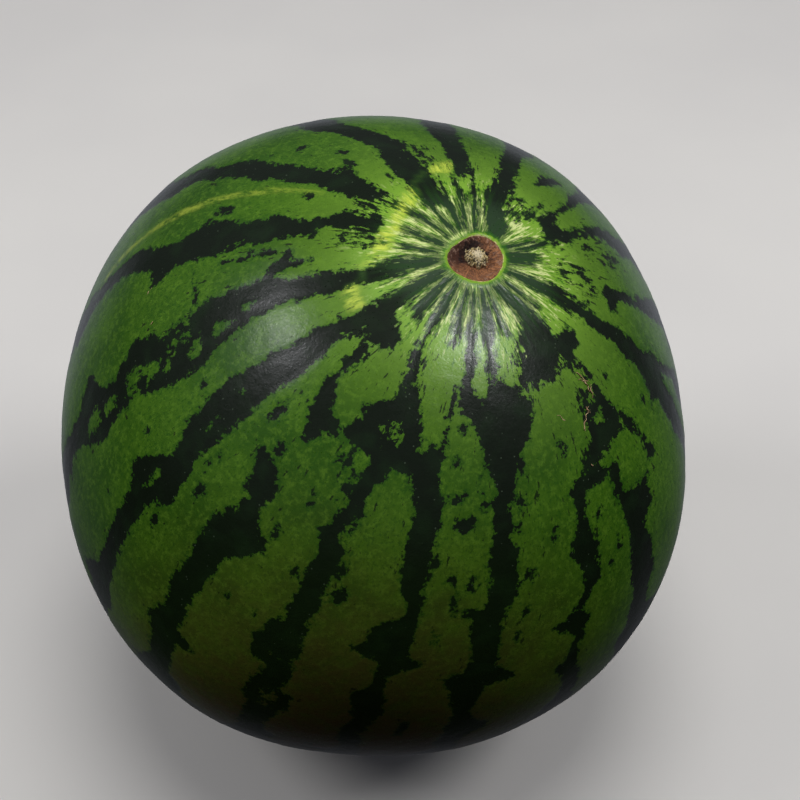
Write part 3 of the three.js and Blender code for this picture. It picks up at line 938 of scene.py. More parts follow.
class Graph:
    """Adds nodes to one material, each with its links, and hands back their outputs."""

    def __init__(self, name: str) -> None:
        """Makes an empty material.

        Args:
            name: What the material is called.
        """
        self.material = bpy.data.materials.new(name)
        self.material.use_nodes = True
        self.tree = self.material.node_tree
        self.tree.nodes.clear()

    def node(self, kind: str, **settings: object) -> bpy.types.Node:
        """Adds a node and sets its properties.

        Args:
            kind: The node's type.
            settings: Its properties, by name.

        Returns:
            The node.
        """
        made = self.tree.nodes.new(kind)
        for key, value in settings.items():
            setattr(made, key, value)
        return made

    def feed(self, socket: bpy.types.NodeSocket, source: object) -> None:
        """Links an output to an input, or sets the input's own value.

        Args:
            socket: The input.
            source: An output socket, a number, a vector or a colour.
        """
        if isinstance(source, bpy.types.NodeSocket):
            self.tree.links.new(source, socket)
        else:
            socket.default_value = source

    def math(self, operation: str, first: object, second: object) -> bpy.types.NodeSocket:
        """One sum on two numbers or outputs.

        Args:
            operation: What is done to them.
            first: A number or an output.
            second: A number or an output.

        Returns:
            The result.
        """
        made = self.node("ShaderNodeMath", operation=operation)
        self.feed(made.inputs[0], first)
        self.feed(made.inputs[1], second)
        return made.outputs[0]

    def step(
        self, value: object, low: float, high: float, to: tuple[float, float] = (0.0, 1.0)
    ) -> bpy.types.NodeSocket:
        """Eases a value between two limits.

        Args:
            value: The output to ease.
            low: Where the result is to[0].
            high: Where the result is to[1].
            to: The two results.

        Returns:
            The eased output.
        """
        made = self.node("ShaderNodeMapRange", interpolation_type="SMOOTHSTEP")
        for socket, source in zip(made.inputs[:5], (value, low, high, *to)):
            self.feed(socket, source)
        return made.outputs[0]

    def times(self, first: object, second: object) -> bpy.types.NodeSocket:
        """Two numbers or outputs multiplied."""
        return self.math("MULTIPLY", first, second)

    def plus(self, first: object, second: object) -> bpy.types.NodeSocket:
        """Two numbers or outputs added."""
        return self.math("ADD", first, second)

    def mix(self, share: object, first: object, second: object) -> bpy.types.NodeSocket:
        """Mixes two colours.

        Args:
            share: How much of the second there is, from 0 to 1.
            first: A display colour or an output.
            second: A display colour or an output.

        Returns:
            The mixed colour.
        """
        made = self.node("ShaderNodeMix", data_type="RGBA", blend_type="MIX", clamp_factor=True)
        self.feed(made.inputs[0], share)
        for socket, colour in zip(made.inputs[6:8], (first, second)):
            self.feed(socket, linear_colour(*colour) if isinstance(colour, tuple) else colour)
        return made.outputs[2]

    def noise(
        self, where: object, grain_mm: float, detail: float = 2.0, rough: float = 0.5
    ) -> bpy.types.NodeSocket:
        """Noise about 0, mostly from -0.5 to 0.5.

        Args:
            where: The place, in millimetres.
            grain_mm: Size of its lumps.
            detail: How many finer layers it has.
            rough: How strong the finer layers are.

        Returns:
            The noise's output.
        """
        made = self.node("ShaderNodeTexNoise", noise_dimensions="3D")
        self.feed(made.inputs["Vector"], where)
        self.feed(made.inputs["Scale"], 1.0 / grain_mm)
        self.feed(made.inputs["Detail"], detail)
        self.feed(made.inputs["Roughness"], rough)
        return self.centred(made.outputs["Fac"])

    def centred(self, value: bpy.types.NodeSocket) -> bpy.types.NodeSocket:
        """Moves an output that runs about a half so that it runs about 0, and doubles it.

        Args:
            value: The output.

        Returns:
            The moved output.
        """
        made = self.node("ShaderNodeMath", operation="MULTIPLY_ADD")
        self.feed(made.inputs[0], value)
        self.feed(made.inputs[1], 2.0)
        self.feed(made.inputs[2], -1.0)
        return made.outputs[0]

    def cells(self, where: object, grain_mm: float) -> bpy.types.NodeSocket:
        """Distance within rounded cells.

        Args:
            where: The place, in millimetres.
            grain_mm: Size of a cell.

        Returns:
            The distance from the middle of the nearest cell, as a share of its size.
        """
        made = self.node("ShaderNodeTexVoronoi", voronoi_dimensions="3D", feature="F1")
        self.feed(made.inputs["Vector"], where)
        self.feed(made.inputs["Scale"], 1.0 / grain_mm)
        return made.outputs["Distance"]

    def attribute(self, name: str, output: str = "Fac") -> bpy.types.NodeSocket:
        """A value kept at the mesh's points."""
        made = self.node("ShaderNodeAttribute", attribute_type="GEOMETRY", attribute_name=name)
        return made.outputs[output]

    def place_mm(self) -> bpy.types.NodeSocket:
        """The place on the piece, in millimetres."""
        return self.scaled(self.node("ShaderNodeTexCoord").outputs["Object"], (1000.0, 1000.0, 1000.0))

    def scaled(self, vector: object, factors: Sequence[float]) -> bpy.types.NodeSocket:
        """A vector stretched along its three axes.

        Args:
            vector: A vector or an output.
            factors: One factor an axis.

        Returns:
            The stretched vector.
        """
        made = self.node("ShaderNodeVectorMath", operation="MULTIPLY")
        self.feed(made.inputs[0], vector)
        self.feed(made.inputs[1], tuple(factors))
        return made.outputs[0]

    def surface(
        self,
        colour: object,
        roughness: object,
        height: object | None = None,
        depth_mm: float = 0.1,
        constants: dict[str, float] | None = None,
    ) -> bpy.types.Material:
        """Ends the material with its shader.

        Args:
            colour: The base colour.
            roughness: The roughness.
            height: Fine relief, about 0 to 1, or None.
            depth_mm: How high that relief is.
            constants: Values of other inputs of the shader, by name.

        Returns:
            The material.
        """
        shader = self.node("ShaderNodeBsdfPrincipled")
        self.feed(shader.inputs["Base Color"], colour)
        self.feed(shader.inputs["Roughness"], roughness)
        for name, value in (constants or {}).items():
            shader.inputs[name].default_value = value
        if height is not None:
            bump = self.node("ShaderNodeBump")
            self.feed(bump.inputs["Strength"], 1.0)
            self.feed(bump.inputs["Distance"], depth_mm * MM)
            self.feed(bump.inputs["Height"], height)
            self.feed(shader.inputs["Normal"], bump.outputs["Normal"])
        end = self.node("ShaderNodeOutputMaterial")
        self.feed(end.inputs["Surface"], shader.outputs["BSDF"])
        return self.material


@dataclass(frozen=True)
class RindFinish:
    """Waxy rind: jagged near-black stripes on mottled green bands, paler and streaked round the scar, dull
    olive on the lower front where the ground spot also paints shade.
    """

    band_green: tuple[int, int, int] = (66, 106, 22)
    band_deep: tuple[int, int, int] = (46, 84, 17)
    band_pale: tuple[int, int, int] = (94, 134, 38)
    fleck_green: tuple[int, int, int] = (42, 84, 18)
    glow_lime: tuple[int, int, int] = (112, 152, 48)
    crown_deep: tuple[int, int, int] = (50, 108, 20)
    crown_lime: tuple[int, int, int] = (124, 168, 54)
    crown_cream: tuple[int, int, int] = (212, 224, 150)
    crown_slate: tuple[int, int, int] = (48, 70, 46)
    stripe_dark: tuple[int, int, int] = (18, 27, 16)
    stripe_soft: tuple[int, int, int] = (25, 43, 22)
    fringe_green: tuple[int, int, int] = (34, 74, 18)
    dot_grey: tuple[int, int, int] = (96, 112, 92)
    mark_yellow: tuple[int, int, int] = (206, 222, 84)
    mark_green: tuple[int, int, int] = (52, 104, 30)
    lip_green: tuple[int, int, int] = (130, 172, 46)
    lip_cream: tuple[int, int, int] = (204, 190, 134)
    ground_olive_and_shade: tuple[int, int, int] = (92, 73, 38)

    def edge_mm(self, g: Graph, place: object, grain: object, dashes: object) -> bpy.types.NodeSocket:
        """How deep inside a dark stripe a place is, once its edge is lobed, nibbled and, in places, torn.

        Args:
            g: The material that the nodes go into.
            place: The place, in millimetres.
            grain: The place along and across the grain, in millimetres.
            dashes: Noise drawn out along the grain, which pushes the edge near the scar.

        Returns:
            The depth in millimetres, below 0 outside a stripe.
        """
        lobes = g.times(g.noise(place, 5.5, 1.5), g.step(g.attribute("crown"), 0.2, 1.0, (2.4, 0.6)))
        nibble = g.times(g.noise(place, 1.9, 3.0, 0.64), g.step(g.attribute("crown"), 0.2, 1.0, (3.4, 1.4)))
        drawn_out = g.noise(g.scaled(grain, (0.5, 0.5, 0.35)), 2.4, 3.0, 0.62)
        torn = g.plus(g.noise(place, 2.8, 4.0, 0.7), drawn_out)
        torn = g.times(torn, g.times(g.attribute("ragged"), 6.5))
        pushed = g.times(g.plus(dashes, 0.05), g.attribute("push"))
        rough = g.plus(g.plus(nibble, torn), g.plus(lobes, pushed))
        return g.plus(g.attribute("stripe"), rough)

    def specks(self, g: Graph, grain: object) -> bpy.types.NodeSocket:
        """Dark specks strewn over the light bands, closest beside the stripes.

        Args:
            g: The material that the nodes go into.
            grain: The place along and across the grain, in millimetres.

        Returns:
            Their share, 0 or 1.
        """
        strew = g.noise(g.scaled(grain, (0.8, 0.8, 0.45)), 2.4, 3.0, 0.68)
        near = g.times(g.step(g.attribute("stripe"), -9.0, -1.5), 0.16)
        torn = g.times(g.attribute("ragged"), 0.13)
        return g.step(g.plus(strew, g.plus(near, torn)), 0.43, 0.49)

    def bands(self, g: Graph, place: object, grain: object) -> bpy.types.NodeSocket:
        """Mottled green of the light bands.

        Args:
            g: The material that the nodes go into.
            place: The place, in millimetres.
            grain: The place along and across the grain, in millimetres.

        Returns:
            The colour.
        """
        clouds = g.step(g.noise(place, 24.0, 3.0), -0.3, 0.3)
        band = g.mix(clouds, self.band_green, self.band_deep)
        mottle = g.step(g.noise(place, 2.4, 4.0, 0.7), -0.12, 0.34)
        band = g.mix(g.times(mottle, 0.55), band, self.band_pale)
        drawn_out = g.noise(g.scaled(grain, (0.8, 0.8, 0.5)), 0.9, 2.0, 0.6)
        flecks = g.step(g.plus(g.noise(place, 1.05, 3.0, 0.65), drawn_out), -0.05, 0.55)
        band = g.mix(g.times(flecks, 0.85), band, self.fleck_green)
        return g.mix(g.times(g.attribute("glow"), 0.75), band, self.glow_lime)

    def crown(self, g: Graph, grain: object) -> bpy.types.NodeSocket:
        """Short strokes of cream, lime and deep green that run out from the scar.

        Args:
            g: The material that the nodes go into.
            grain: The place along and across the grain, in millimetres.

        Returns:
            The colour.
        """
        strokes = g.noise(g.scaled(grain, (0.32, 0.32, 0.3)), 1.35, 3.0, 0.66)
        colour = g.mix(g.step(strokes, -0.36, -0.16), self.crown_deep, self.crown_lime)
        near = g.step(g.attribute("crown"), 0.45, 1.0, (-0.2, 0.12))
        return g.mix(g.step(g.plus(strokes, near), -0.06, 0.24), colour, self.crown_cream)

    def material(self) -> bpy.types.Material:
        """Builds the finish.

        Returns:
            The material.
        """
        g = Graph("rind_waxy_striped")
        place = g.place_mm()
        grain = g.attribute("grain", "Vector")
        crown = g.attribute("crown")
        lip = g.attribute("lip")
        dashes = g.noise(g.scaled(grain, (0.32, 0.32, 0.26)), 1.7, 3.5, 0.64)
        edge = self.edge_mm(g, place, grain, dashes)

        band = g.mix(g.step(crown, 0.0, 0.6), self.bands(g, place, grain), self.crown(g, grain))
        # The ground spot: olive tone of the patch where the fruit lay, widened over the lower front as painted
        # shade.
        ground = g.step(g.noise(place, 6.0, 4.0, 0.6), -0.6, 0.4, (0.55, 1.0))
        ground = g.times(g.attribute("ground"), ground)
        band = g.mix(ground, band, self.ground_olive_and_shade)
        fringe = g.step(g.plus(edge, g.times(crown, 0.9)), -1.2, 0.0, (0.0, 0.75))
        band = g.mix(fringe, band, self.fringe_green)

        soft = g.step(g.noise(place, 9.0, 3.0), -0.1, 0.5)
        stripe = g.mix(g.times(soft, 0.6), self.stripe_dark, self.stripe_soft)
        smears = g.step(g.noise(g.scaled(grain, (0.32, 0.32, 0.14)), 2.6, 3.0, 0.6), -0.15, 0.4)
        smears = g.times(smears, g.step(crown, 0.15, 0.9))
        stripe = g.mix(g.step(crown, 0.55, 1.0, (0.0, 0.8)), stripe, self.crown_slate)
        stripe = g.mix(g.times(smears, 0.6), stripe, self.fringe_green)
        dots = g.step(g.cells(place, 3.4), 0.10, 0.04, (0.0, 0.5))
        stripe = g.mix(dots, stripe, self.dot_grey)

        broken = g.step(g.noise(g.scaled(grain, (0.45, 0.45, 0.35)), 2.2, 4.0, 0.7), -0.3, 0.25)
        pale = g.times(g.attribute("pale"), broken)
        band = g.mix(pale, band, self.mark_yellow)
        stripe = g.mix(g.times(g.attribute("pale"), 0.75), stripe, self.mark_green)
        dark = g.math("MAXIMUM", g.step(edge, -0.2, 0.15), g.times(self.specks(g, grain), 0.85))
        dark = g.times(dark, g.math("SUBTRACT", 1.0, g.times(pale, 0.3)))
        dark = g.times(dark, g.math("SUBTRACT", 1.0, g.times(ground, 0.4)))
        colour = g.mix(dark, band, stripe)

        ring_edge = g.plus(g.noise(place, 4.0, 2.0, 0.5), g.noise(place, 1.3, 3.0, 0.6))
        ring_edge = g.plus(lip, g.times(ring_edge, 0.12))
        colour = g.mix(g.step(ring_edge, 1.34, 1.12, (0.0, 0.75)), colour, self.crown_deep)
        colour = g.mix(g.step(ring_edge, 1.17, 1.05, (0.0, 0.9)), colour, self.lip_green)
        rim = g.times(g.step(lip, 1.06, 1.02), g.step(g.noise(place, 1.1, 3.0), -0.1, 0.2))
        colour = g.mix(rim, colour, self.lip_cream)

        peel = g.noise(place, 0.8, 2.0, 0.5)
        height = g.plus(g.times(peel, 0.34), g.noise(place, 6.0, 2.0, 0.5))
        roughness = g.plus(g.times(g.noise(place, 1.0, 3.0, 0.6), 0.12), 0.31)
        return g.surface(colour, roughness, height, depth_mm=0.07, constants={"Specular IOR Level": 0.36})


@dataclass(frozen=True)
class ScarFinish:
    """Cork of the blossom scar: reddish brown in the hollow ring, with painted shade on its deep side and in
    the crease round the knob, pale and crumbly on the knob.
    """

    ring_brown: tuple[int, int, int] = (176, 120, 78)
    ring_red: tuple[int, int, int] = (110, 70, 48)
    maroon_blotch_and_shade: tuple[int, int, int] = (66, 38, 34)
    ring_pink: tuple[int, int, int] = (182, 150, 130)
    dark_pits_and_crease_shade: tuple[int, int, int] = (36, 22, 18)
    knob_pale: tuple[int, int, int] = (244, 230, 196)
    knob_tan: tuple[int, int, int] = (214, 190, 128)
    knob_rust: tuple[int, int, int] = (136, 92, 46)
    knob_olive: tuple[int, int, int] = (62, 56, 24)

    def ring(self, g: Graph, place: object, grain: object) -> bpy.types.NodeSocket:
        """Cork of the ring: fibrous orange brown with maroon blotches and dark pits, lumpy in its deep side;
        painted shade darkens that side to maroon and the crease round the knob to near black.

        Args:
            g: The material that the nodes go into.
            place: The place, in millimetres.
            grain: The place along and across the grain, in millimetres.

        Returns:
            The colour.
        """
        shade = g.attribute("shade")
        out = g.attribute("out")
        fibres = g.step(g.noise(g.scaled(grain, (1.0, 1.0, 0.28)), 0.75, 4.0, 0.7), -0.3, 0.3)
        ring = g.mix(fibres, self.ring_red, self.ring_brown)
        # Painted shade: the ring's deep side is darkened towards maroon.
        ring = g.mix(g.times(shade, 0.85), ring, self.maroon_blotch_and_shade)
        blotch = g.step(g.noise(place, 1.9, 4.0, 0.72), 0.02, 0.4)
        ring = g.mix(g.times(blotch, 0.75), ring, self.maroon_blotch_and_shade)
        lumps = g.step(g.noise(place, 1.3, 4.0, 0.7), -0.02, 0.3)
        lumps = g.times(lumps, g.step(out, 0.5, 0.9))
        lumps = g.times(lumps, g.step(shade, 0.0, 1.0, (0.45, 0.85)))
        ring = g.mix(lumps, ring, self.ring_pink)
        pits = g.step(g.noise(place, 0.55, 3.0, 0.7), 0.0, 0.3)
        ring = g.mix(g.times(pits, 0.55), ring, self.dark_pits_and_crease_shade)
        # Painted shade: a dark crescent in the crease round the knob and a dark band on the ring's deep side.
        crease_shade = g.plus(g.attribute("crease"), g.times(g.noise(place, 1.4, 3.0, 0.6), 0.3))
        return g.mix(g.step(crease_shade, 0.15, 0.85), ring, self.dark_pits_and_crease_shade)

    def knob(self, g: Graph, place: object) -> bpy.types.NodeSocket:
        """Crumbs of the knob: pale and close in its middle, tan and rusty with dark gaps round it.

        Args:
            g: The material that the nodes go into.
            place: The place, in millimetres.

        Returns:
            The colour.
        """
        core = g.attribute("core")
        tint = g.noise(place, 1.2, 3.0, 0.65)
        knob = g.mix(g.step(tint, -0.2, 0.25), self.knob_tan, self.knob_pale)
        rust = g.times(g.step(g.noise(place, 1.0, 3.0, 0.7), 0.1, 0.35), 0.7)
        knob = g.mix(rust, knob, self.knob_rust)
        knob = g.mix(g.times(core, 0.75), knob, self.knob_pale)
        gaps = g.plus(g.attribute("gap"), g.times(g.noise(place, 0.6, 2.0), 0.25))
        gaps = g.math("SUBTRACT", gaps, g.times(core, 0.3))
        return g.mix(g.step(gaps, 0.42, 0.66, (0.0, 0.9)), knob, self.knob_olive)

    def material(self) -> bpy.types.Material:
        """Builds the finish.

        Returns:
            The material.
        """
        g = Graph("scar_cork")
        place = g.place_mm()
        grain = g.attribute("grain", "Vector")
        knob_edge = g.plus(g.attribute("knob"), g.times(g.noise(place, 1.1, 3.0), 0.7))
        colour = g.mix(g.step(knob_edge, 0.4, 0.55), self.ring(g, place, grain), self.knob(g, place))
        crumbs = g.noise(place, 0.7, 3.0, 0.65)
        height = g.plus(crumbs, g.noise(g.scaled(grain, (1.0, 1.0, 0.3)), 0.6, 3.0, 0.7))
        roughness = g.step(g.noise(place, 0.8, 3.0), -0.5, 0.5, (0.72, 0.92))
        return g.surface(colour, roughness, height, depth_mm=0.34)


@dataclass(frozen=True)
class StumpFinish:
    """Dried stem: grey-brown with fibres down its length, paler and pithy on the cut."""

    bark: tuple[int, int, int] = (126, 112, 66)
    bark_dark: tuple[int, int, int] = (70, 58, 34)
    bark_green: tuple[int, int, int] = (98, 110, 50)
    cut_pale: tuple[int, int, int] = (190, 168, 118)
    cut_dark: tuple[int, int, int] = (110, 84, 50)

    def material(self) -> bpy.types.Material:
        """Builds the finish.

        Returns:
            The material.
        """
        g = Graph("stump_dried")
        place = g.place_mm()
        grain = g.attribute("grain", "Vector")
        cut = g.attribute("cut")
        fibres = g.step(g.noise(g.scaled(grain, (1.0, 1.0, 0.12)), 0.7, 4.0, 0.65), -0.4, 0.4)
        bark = g.mix(fibres, self.bark_dark, self.bark)
        foot = g.attribute("foot")
        bark = g.mix(g.times(foot, 0.8), bark, self.bark_green)
        pith = g.step(g.cells(place, 0.8), 0.2, 0.55)
        face = g.mix(pith, self.cut_dark, self.cut_pale)
        colour = g.mix(cut, bark, face)
        height = g.plus(g.noise(g.scaled(grain, (1.0, 1.0, 0.15)), 0.6, 4.0, 0.7), g.noise(place, 0.5, 2.0))
        roughness = g.step(fibres, 0.0, 1.0, (0.9, 0.74))
        return g.surface(colour, roughness, height, depth_mm=0.2)


@dataclass(frozen=True)
class ThreadFinish:
    """Healed scratches: thin tan threads of cork."""

    tan: tuple[int, int, int] = (186, 160, 126)
    brown: tuple[int, int, int] = (128, 98, 66)

    def material(self) -> bpy.types.Material:
        """Builds the finish.

        Returns:
            The material.
        """
        g = Graph("scratch_cork")
        place = g.place_mm()
        share = g.step(g.noise(place, 1.1, 4.0, 0.7), -0.35, 0.35)
        colour = g.mix(share, self.tan, self.brown)
        roughness = g.step(share, 0.0, 1.0, (0.7, 0.9))
        return g.surface(colour, roughness, g.noise(place, 0.5, 3.0, 0.7), depth_mm=0.15)


@dataclass(frozen=True)
class FloorFinish:
    """Plain pale studio floor."""

    pale: tuple[int, int, int] = (229, 227, 225)
    faint: tuple[int, int, int] = (223, 221, 220)

    def material(self) -> bpy.types.Material:
        """Builds the finish.

        Returns:
            The material.
        """
        g = Graph("floor_pale")
        share = g.step(g.noise(g.place_mm(), 240.0, 3.0), -0.4, 0.4)
        colour = g.mix(share, self.pale, self.faint)
        return g.surface(colour, 0.62)


def new_sphere(name: str, segments: int, rings: int) -> bpy.types.Object:
    """Adds a unit sphere to be shaped, alone in the selection.

    Args:
        name: The piece's name.
        segments: Its divisions round.
        rings: Its divisions from pole to pole.

    Returns:
        The new object.
    """
    bpy.ops.object.select_all(action="DESELECT")
    bpy.ops.mesh.primitive_uv_sphere_add(segments=segments, ring_count=rings, radius=1.0)
    piece = bpy.context.object
    piece.name = name
    piece.data.name = name
    return piece


def read_points(piece: bpy.types.Object) -> np.ndarray:
    """The places of a mesh's vertices, one a row.

    Args:
        piece: The mesh's object.

    Returns:
        An array of three columns.
    """
    flat = np.empty(len(piece.data.vertices) * 3)
    piece.data.vertices.foreach_get("co", flat)
    return flat.reshape(-1, 3)


def write_points(piece: bpy.types.Object, points: np.ndarray) -> None:
    """Moves a mesh's vertices, and points its faces outwards.

    Args:
        piece: The mesh's object.
        points: Where they go, one a row.
    """
    piece.data.vertices.foreach_set("co", points.astype(np.float32).ravel())
    piece.data.update()
    bpy.ops.object.select_all(action="DESELECT")
    piece.select_set(True)
    bpy.context.view_layer.objects.active = piece
    bpy.ops.object.mode_set(mode="EDIT")
    bpy.ops.mesh.select_all(action="SELECT")
    bpy.ops.mesh.normals_make_consistent(inside=False)
    bpy.ops.object.mode_set(mode="OBJECT")
    bpy.ops.object.shade_smooth()


def keep_values(piece: bpy.types.Object, name: str, values: np.ndarray) -> None:
    """Keeps one value, or one vector, at each of a mesh's points, for its material.

    Args:
        piece: The mesh's object.
        name: The attribute's name.
        values: One number a point, or three.
    """
    kind, key = ("FLOAT_VECTOR", "vector") if values.ndim == 2 else ("FLOAT", "value")
    attribute = piece.data.attributes.new(name, kind, "POINT")
    attribute.data.foreach_set(key, values.astype(np.float32).ravel())


def hand_over(piece: bpy.types.Object, material: bpy.types.Material) -> None:
    """Gives a finished piece its material and its place in the frame.

    Args:
        piece: The piece.
        material: Its material.
    """
    piece.data.materials.clear()
    piece.data.materials.append(material)
    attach(piece, BODY)
    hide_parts(NODE)
    log.info("%s: %d faces", piece.name, len(piece.data.polygons))


@dataclass(frozen=True)
class ScarOutline:
    """Outline of the blossom scar: egg-shaped, blunt to the right and drawn to a tip at the left.

    Attributes:
        radius_mm: Its mean radius.
        waves: How it departs from round: waves around it, their height in millimetres, and where one crests.
    """

    radius_mm: float = 9.37
    waves: tuple[tuple[int, float, float], ...] = ((1, 1.15, 31.6), (2, 0.99, 40.9), (3, 0.45, -55.8))

    def reach_mm(self, around: np.ndarray) -> np.ndarray:
        """Distance from the pole to the scar's edge, in each direction.

        Args:
            around: The directions, in degrees round the fruit.

        Returns:
            One distance a direction, in millimetres.
        """
        reach = np.full(np.shape(around), self.radius_mm)
        for count, height, crest in self.waves:
            reach = reach + height * np.cos(count * np.radians(around - crest))
        return reach


SCAR_OUTLINE = ScarOutline()


@dataclass
class Rind:
    """The rind, from the lip of the blossom scar to the dish of the stem.

    Attributes:
        segments: Divisions round the fruit.
        rings: Divisions down the fruit.
        ring_shares: How the rings are shared out between the crown, the middle and the stem end.
        ring_downs: Where those three stretches begin and end, in degrees.
        stripe_sink_mm: How far the dark stripes lie below the light bands.
        uneven_mm: Height of the slow unevenness.
        crown_rib_mm: Height of the fine ribs that run out from the scar.
        lip_mm: Height of the lip round the scar.
        lip_at: Where the lip is highest, as a share of the scar's radius.
        lip_spread: How wide the lip is, as a share of that radius.
        bed_mm: How far the rind drops under the scar.
        bed_span: Where that drop begins and ends, as shares of that radius.
        crown_push_mm: How far the strokes push the stripes' edges at the scar, and how much more away
            from it.
        crown_push_span: Where that change begins and ends, in millimetres from the middle of the scar.
        crown_fade_mm: Where the streaked crown ends, and where it is at its full.
        glow_fade_mm: Where the paler green round the crown ends, and where it is at its full.
        marks: The stripes, flecks and streaks.
        ground: The patch where the fruit lay, which also paints shade on the lower front.
        finish: Its material.
    """

    segments: int = 480
    rings: int = 206
    ring_shares: tuple[float, ...] = (0.0, 0.12, 0.93, 1.0)
    ring_downs: tuple[float, ...] = (0.0, 11.0, 168.0, 180.0)
    stripe_sink_mm: float = 0.14
    uneven_mm: float = 0.7
    crown_rib_mm: float = 0.07
    lip_mm: float = 0.25
    lip_at: float = 1.09
    lip_spread: float = 0.07
    bed_mm: float = 4.4
    bed_span: tuple[float, float] = (1.03, 0.8)
    crown_push_mm: tuple[float, float] = (2.5, 6.6)
    crown_push_span: tuple[float, float] = (14.0, 40.0)
    crown_fade_mm: tuple[float, float] = (54.0, 16.0)
    glow_fade_mm: tuple[float, float] = (84.0, 26.0)
    marks: RindMarks = field(default_factory=RindMarks)
    ground: GroundSpotAndShade = field(default_factory=GroundSpotAndShade)
    finish: RindFinish = field(default_factory=RindFinish)

    def scar_hollow_mm(self, from_axis: np.ndarray, around: np.ndarray) -> np.ndarray:
        """How far the rind rises at the scar's lip and drops below the scar itself.

        Args:
            from_axis: Distance of each place from the fruit's axis, in millimetres.
            around: Degrees round the fruit.

        Returns:
            One height a place, in millimetres.
        """
        ratio = from_axis / SCAR_OUTLINE.reach_mm(around)
        lip = self.lip_mm * np.exp(-(((ratio - self.lip_at) / self.lip_spread) ** 2))
        return lip - self.bed_mm * smooth_step(*self.bed_span, ratio)

    def dish_mm(self, from_axis: np.ndarray, down: np.ndarray) -> np.ndarray:
        """How far the rind is drawn in round the stem, in millimetres."""
        inside = np.clip(1.0 - (from_axis * MM / FORM.dish_radius) ** 2, 0.0, 1.0)
        return -FORM.dish_depth / MM * inside**2 * (down > EQUATOR_DEG)

    def build(self) -> bpy.types.Object:
        """Makes the rind's mesh and its values, and dresses it.

        Returns:
            The rind.
        """
        piece = new_sphere("rind", self.segments, self.rings)
        unit = read_points(piece)
        share = np.degrees(np.arccos(np.clip(unit[:, 2], -1.0, 1.0))) / STEM_END_DEG
        down = np.interp(share, self.ring_shares, self.ring_downs)
        around = np.degrees(np.arctan2(unit[:, 1], unit[:, 0]))
        bare = FORM.upright(down, around)
        from_axis = np.hypot(bare[:, 0], bare[:, 1]) / MM
        arc = FORM.arc_mm(down)
        crown = smooth_step(*self.crown_fade_mm, arc)

        depth = self.marks.stripe_depth_mm(down, around)
        circle = np.stack([np.cos(np.radians(around)), np.sin(np.radians(around)), arc / 60.0], axis=-1)
        ribs = noise_field(circle, 0.06, 5.0) * crown * smooth_step(10.0, 13.0, from_axis)
        relief = (
            self.scar_hollow_mm(from_axis, around)
            + self.dish_mm(from_axis, down)
            - self.stripe_sink_mm * smooth_step(-1.5, 1.5, depth)
            + self.uneven_mm * noise_field(bare, 0.05, 11.0) * smooth_step(12.0, 30.0, from_axis)
            + self.crown_rib_mm * ribs
        )
        outward = bare / np.linalg.norm(bare, axis=1)[:, None]
        placed = FORM.place(bare + outward * relief[:, None] * MM)
        placed[:, 2] = np.maximum(placed[:, 2], 0.0)
        write_points(piece, placed)

        grain = np.stack(
            [
                FORM.equator_radius / MM * np.cos(np.radians(around)),
                FORM.equator_radius / MM * np.sin(np.radians(around)),
                arc,
            ],
            axis=-1,
        )
        keep_values(piece, "grain", grain)
        keep_values(piece, "stripe", depth)
        keep_values(piece, "ragged", self.marks.ragged(down, around))
        keep_values(piece, "pale", self.marks.pale(down, around))
        keep_values(piece, "ground", self.ground.share(down, around))
        keep_values(piece, "crown", crown)
        least, more = self.crown_push_mm
        keep_values(piece, "push", crown * (least + more * smooth_step(*self.crown_push_span, arc)))
        keep_values(piece, "glow", smooth_step(*self.glow_fade_mm, arc))
        ratio = from_axis / SCAR_OUTLINE.reach_mm(around)
        keep_values(piece, "lip", np.minimum(ratio, NO_LIP) + NO_LIP * (down > EQUATOR_DEG))
        hand_over(piece, self.finish.material())
        return piece


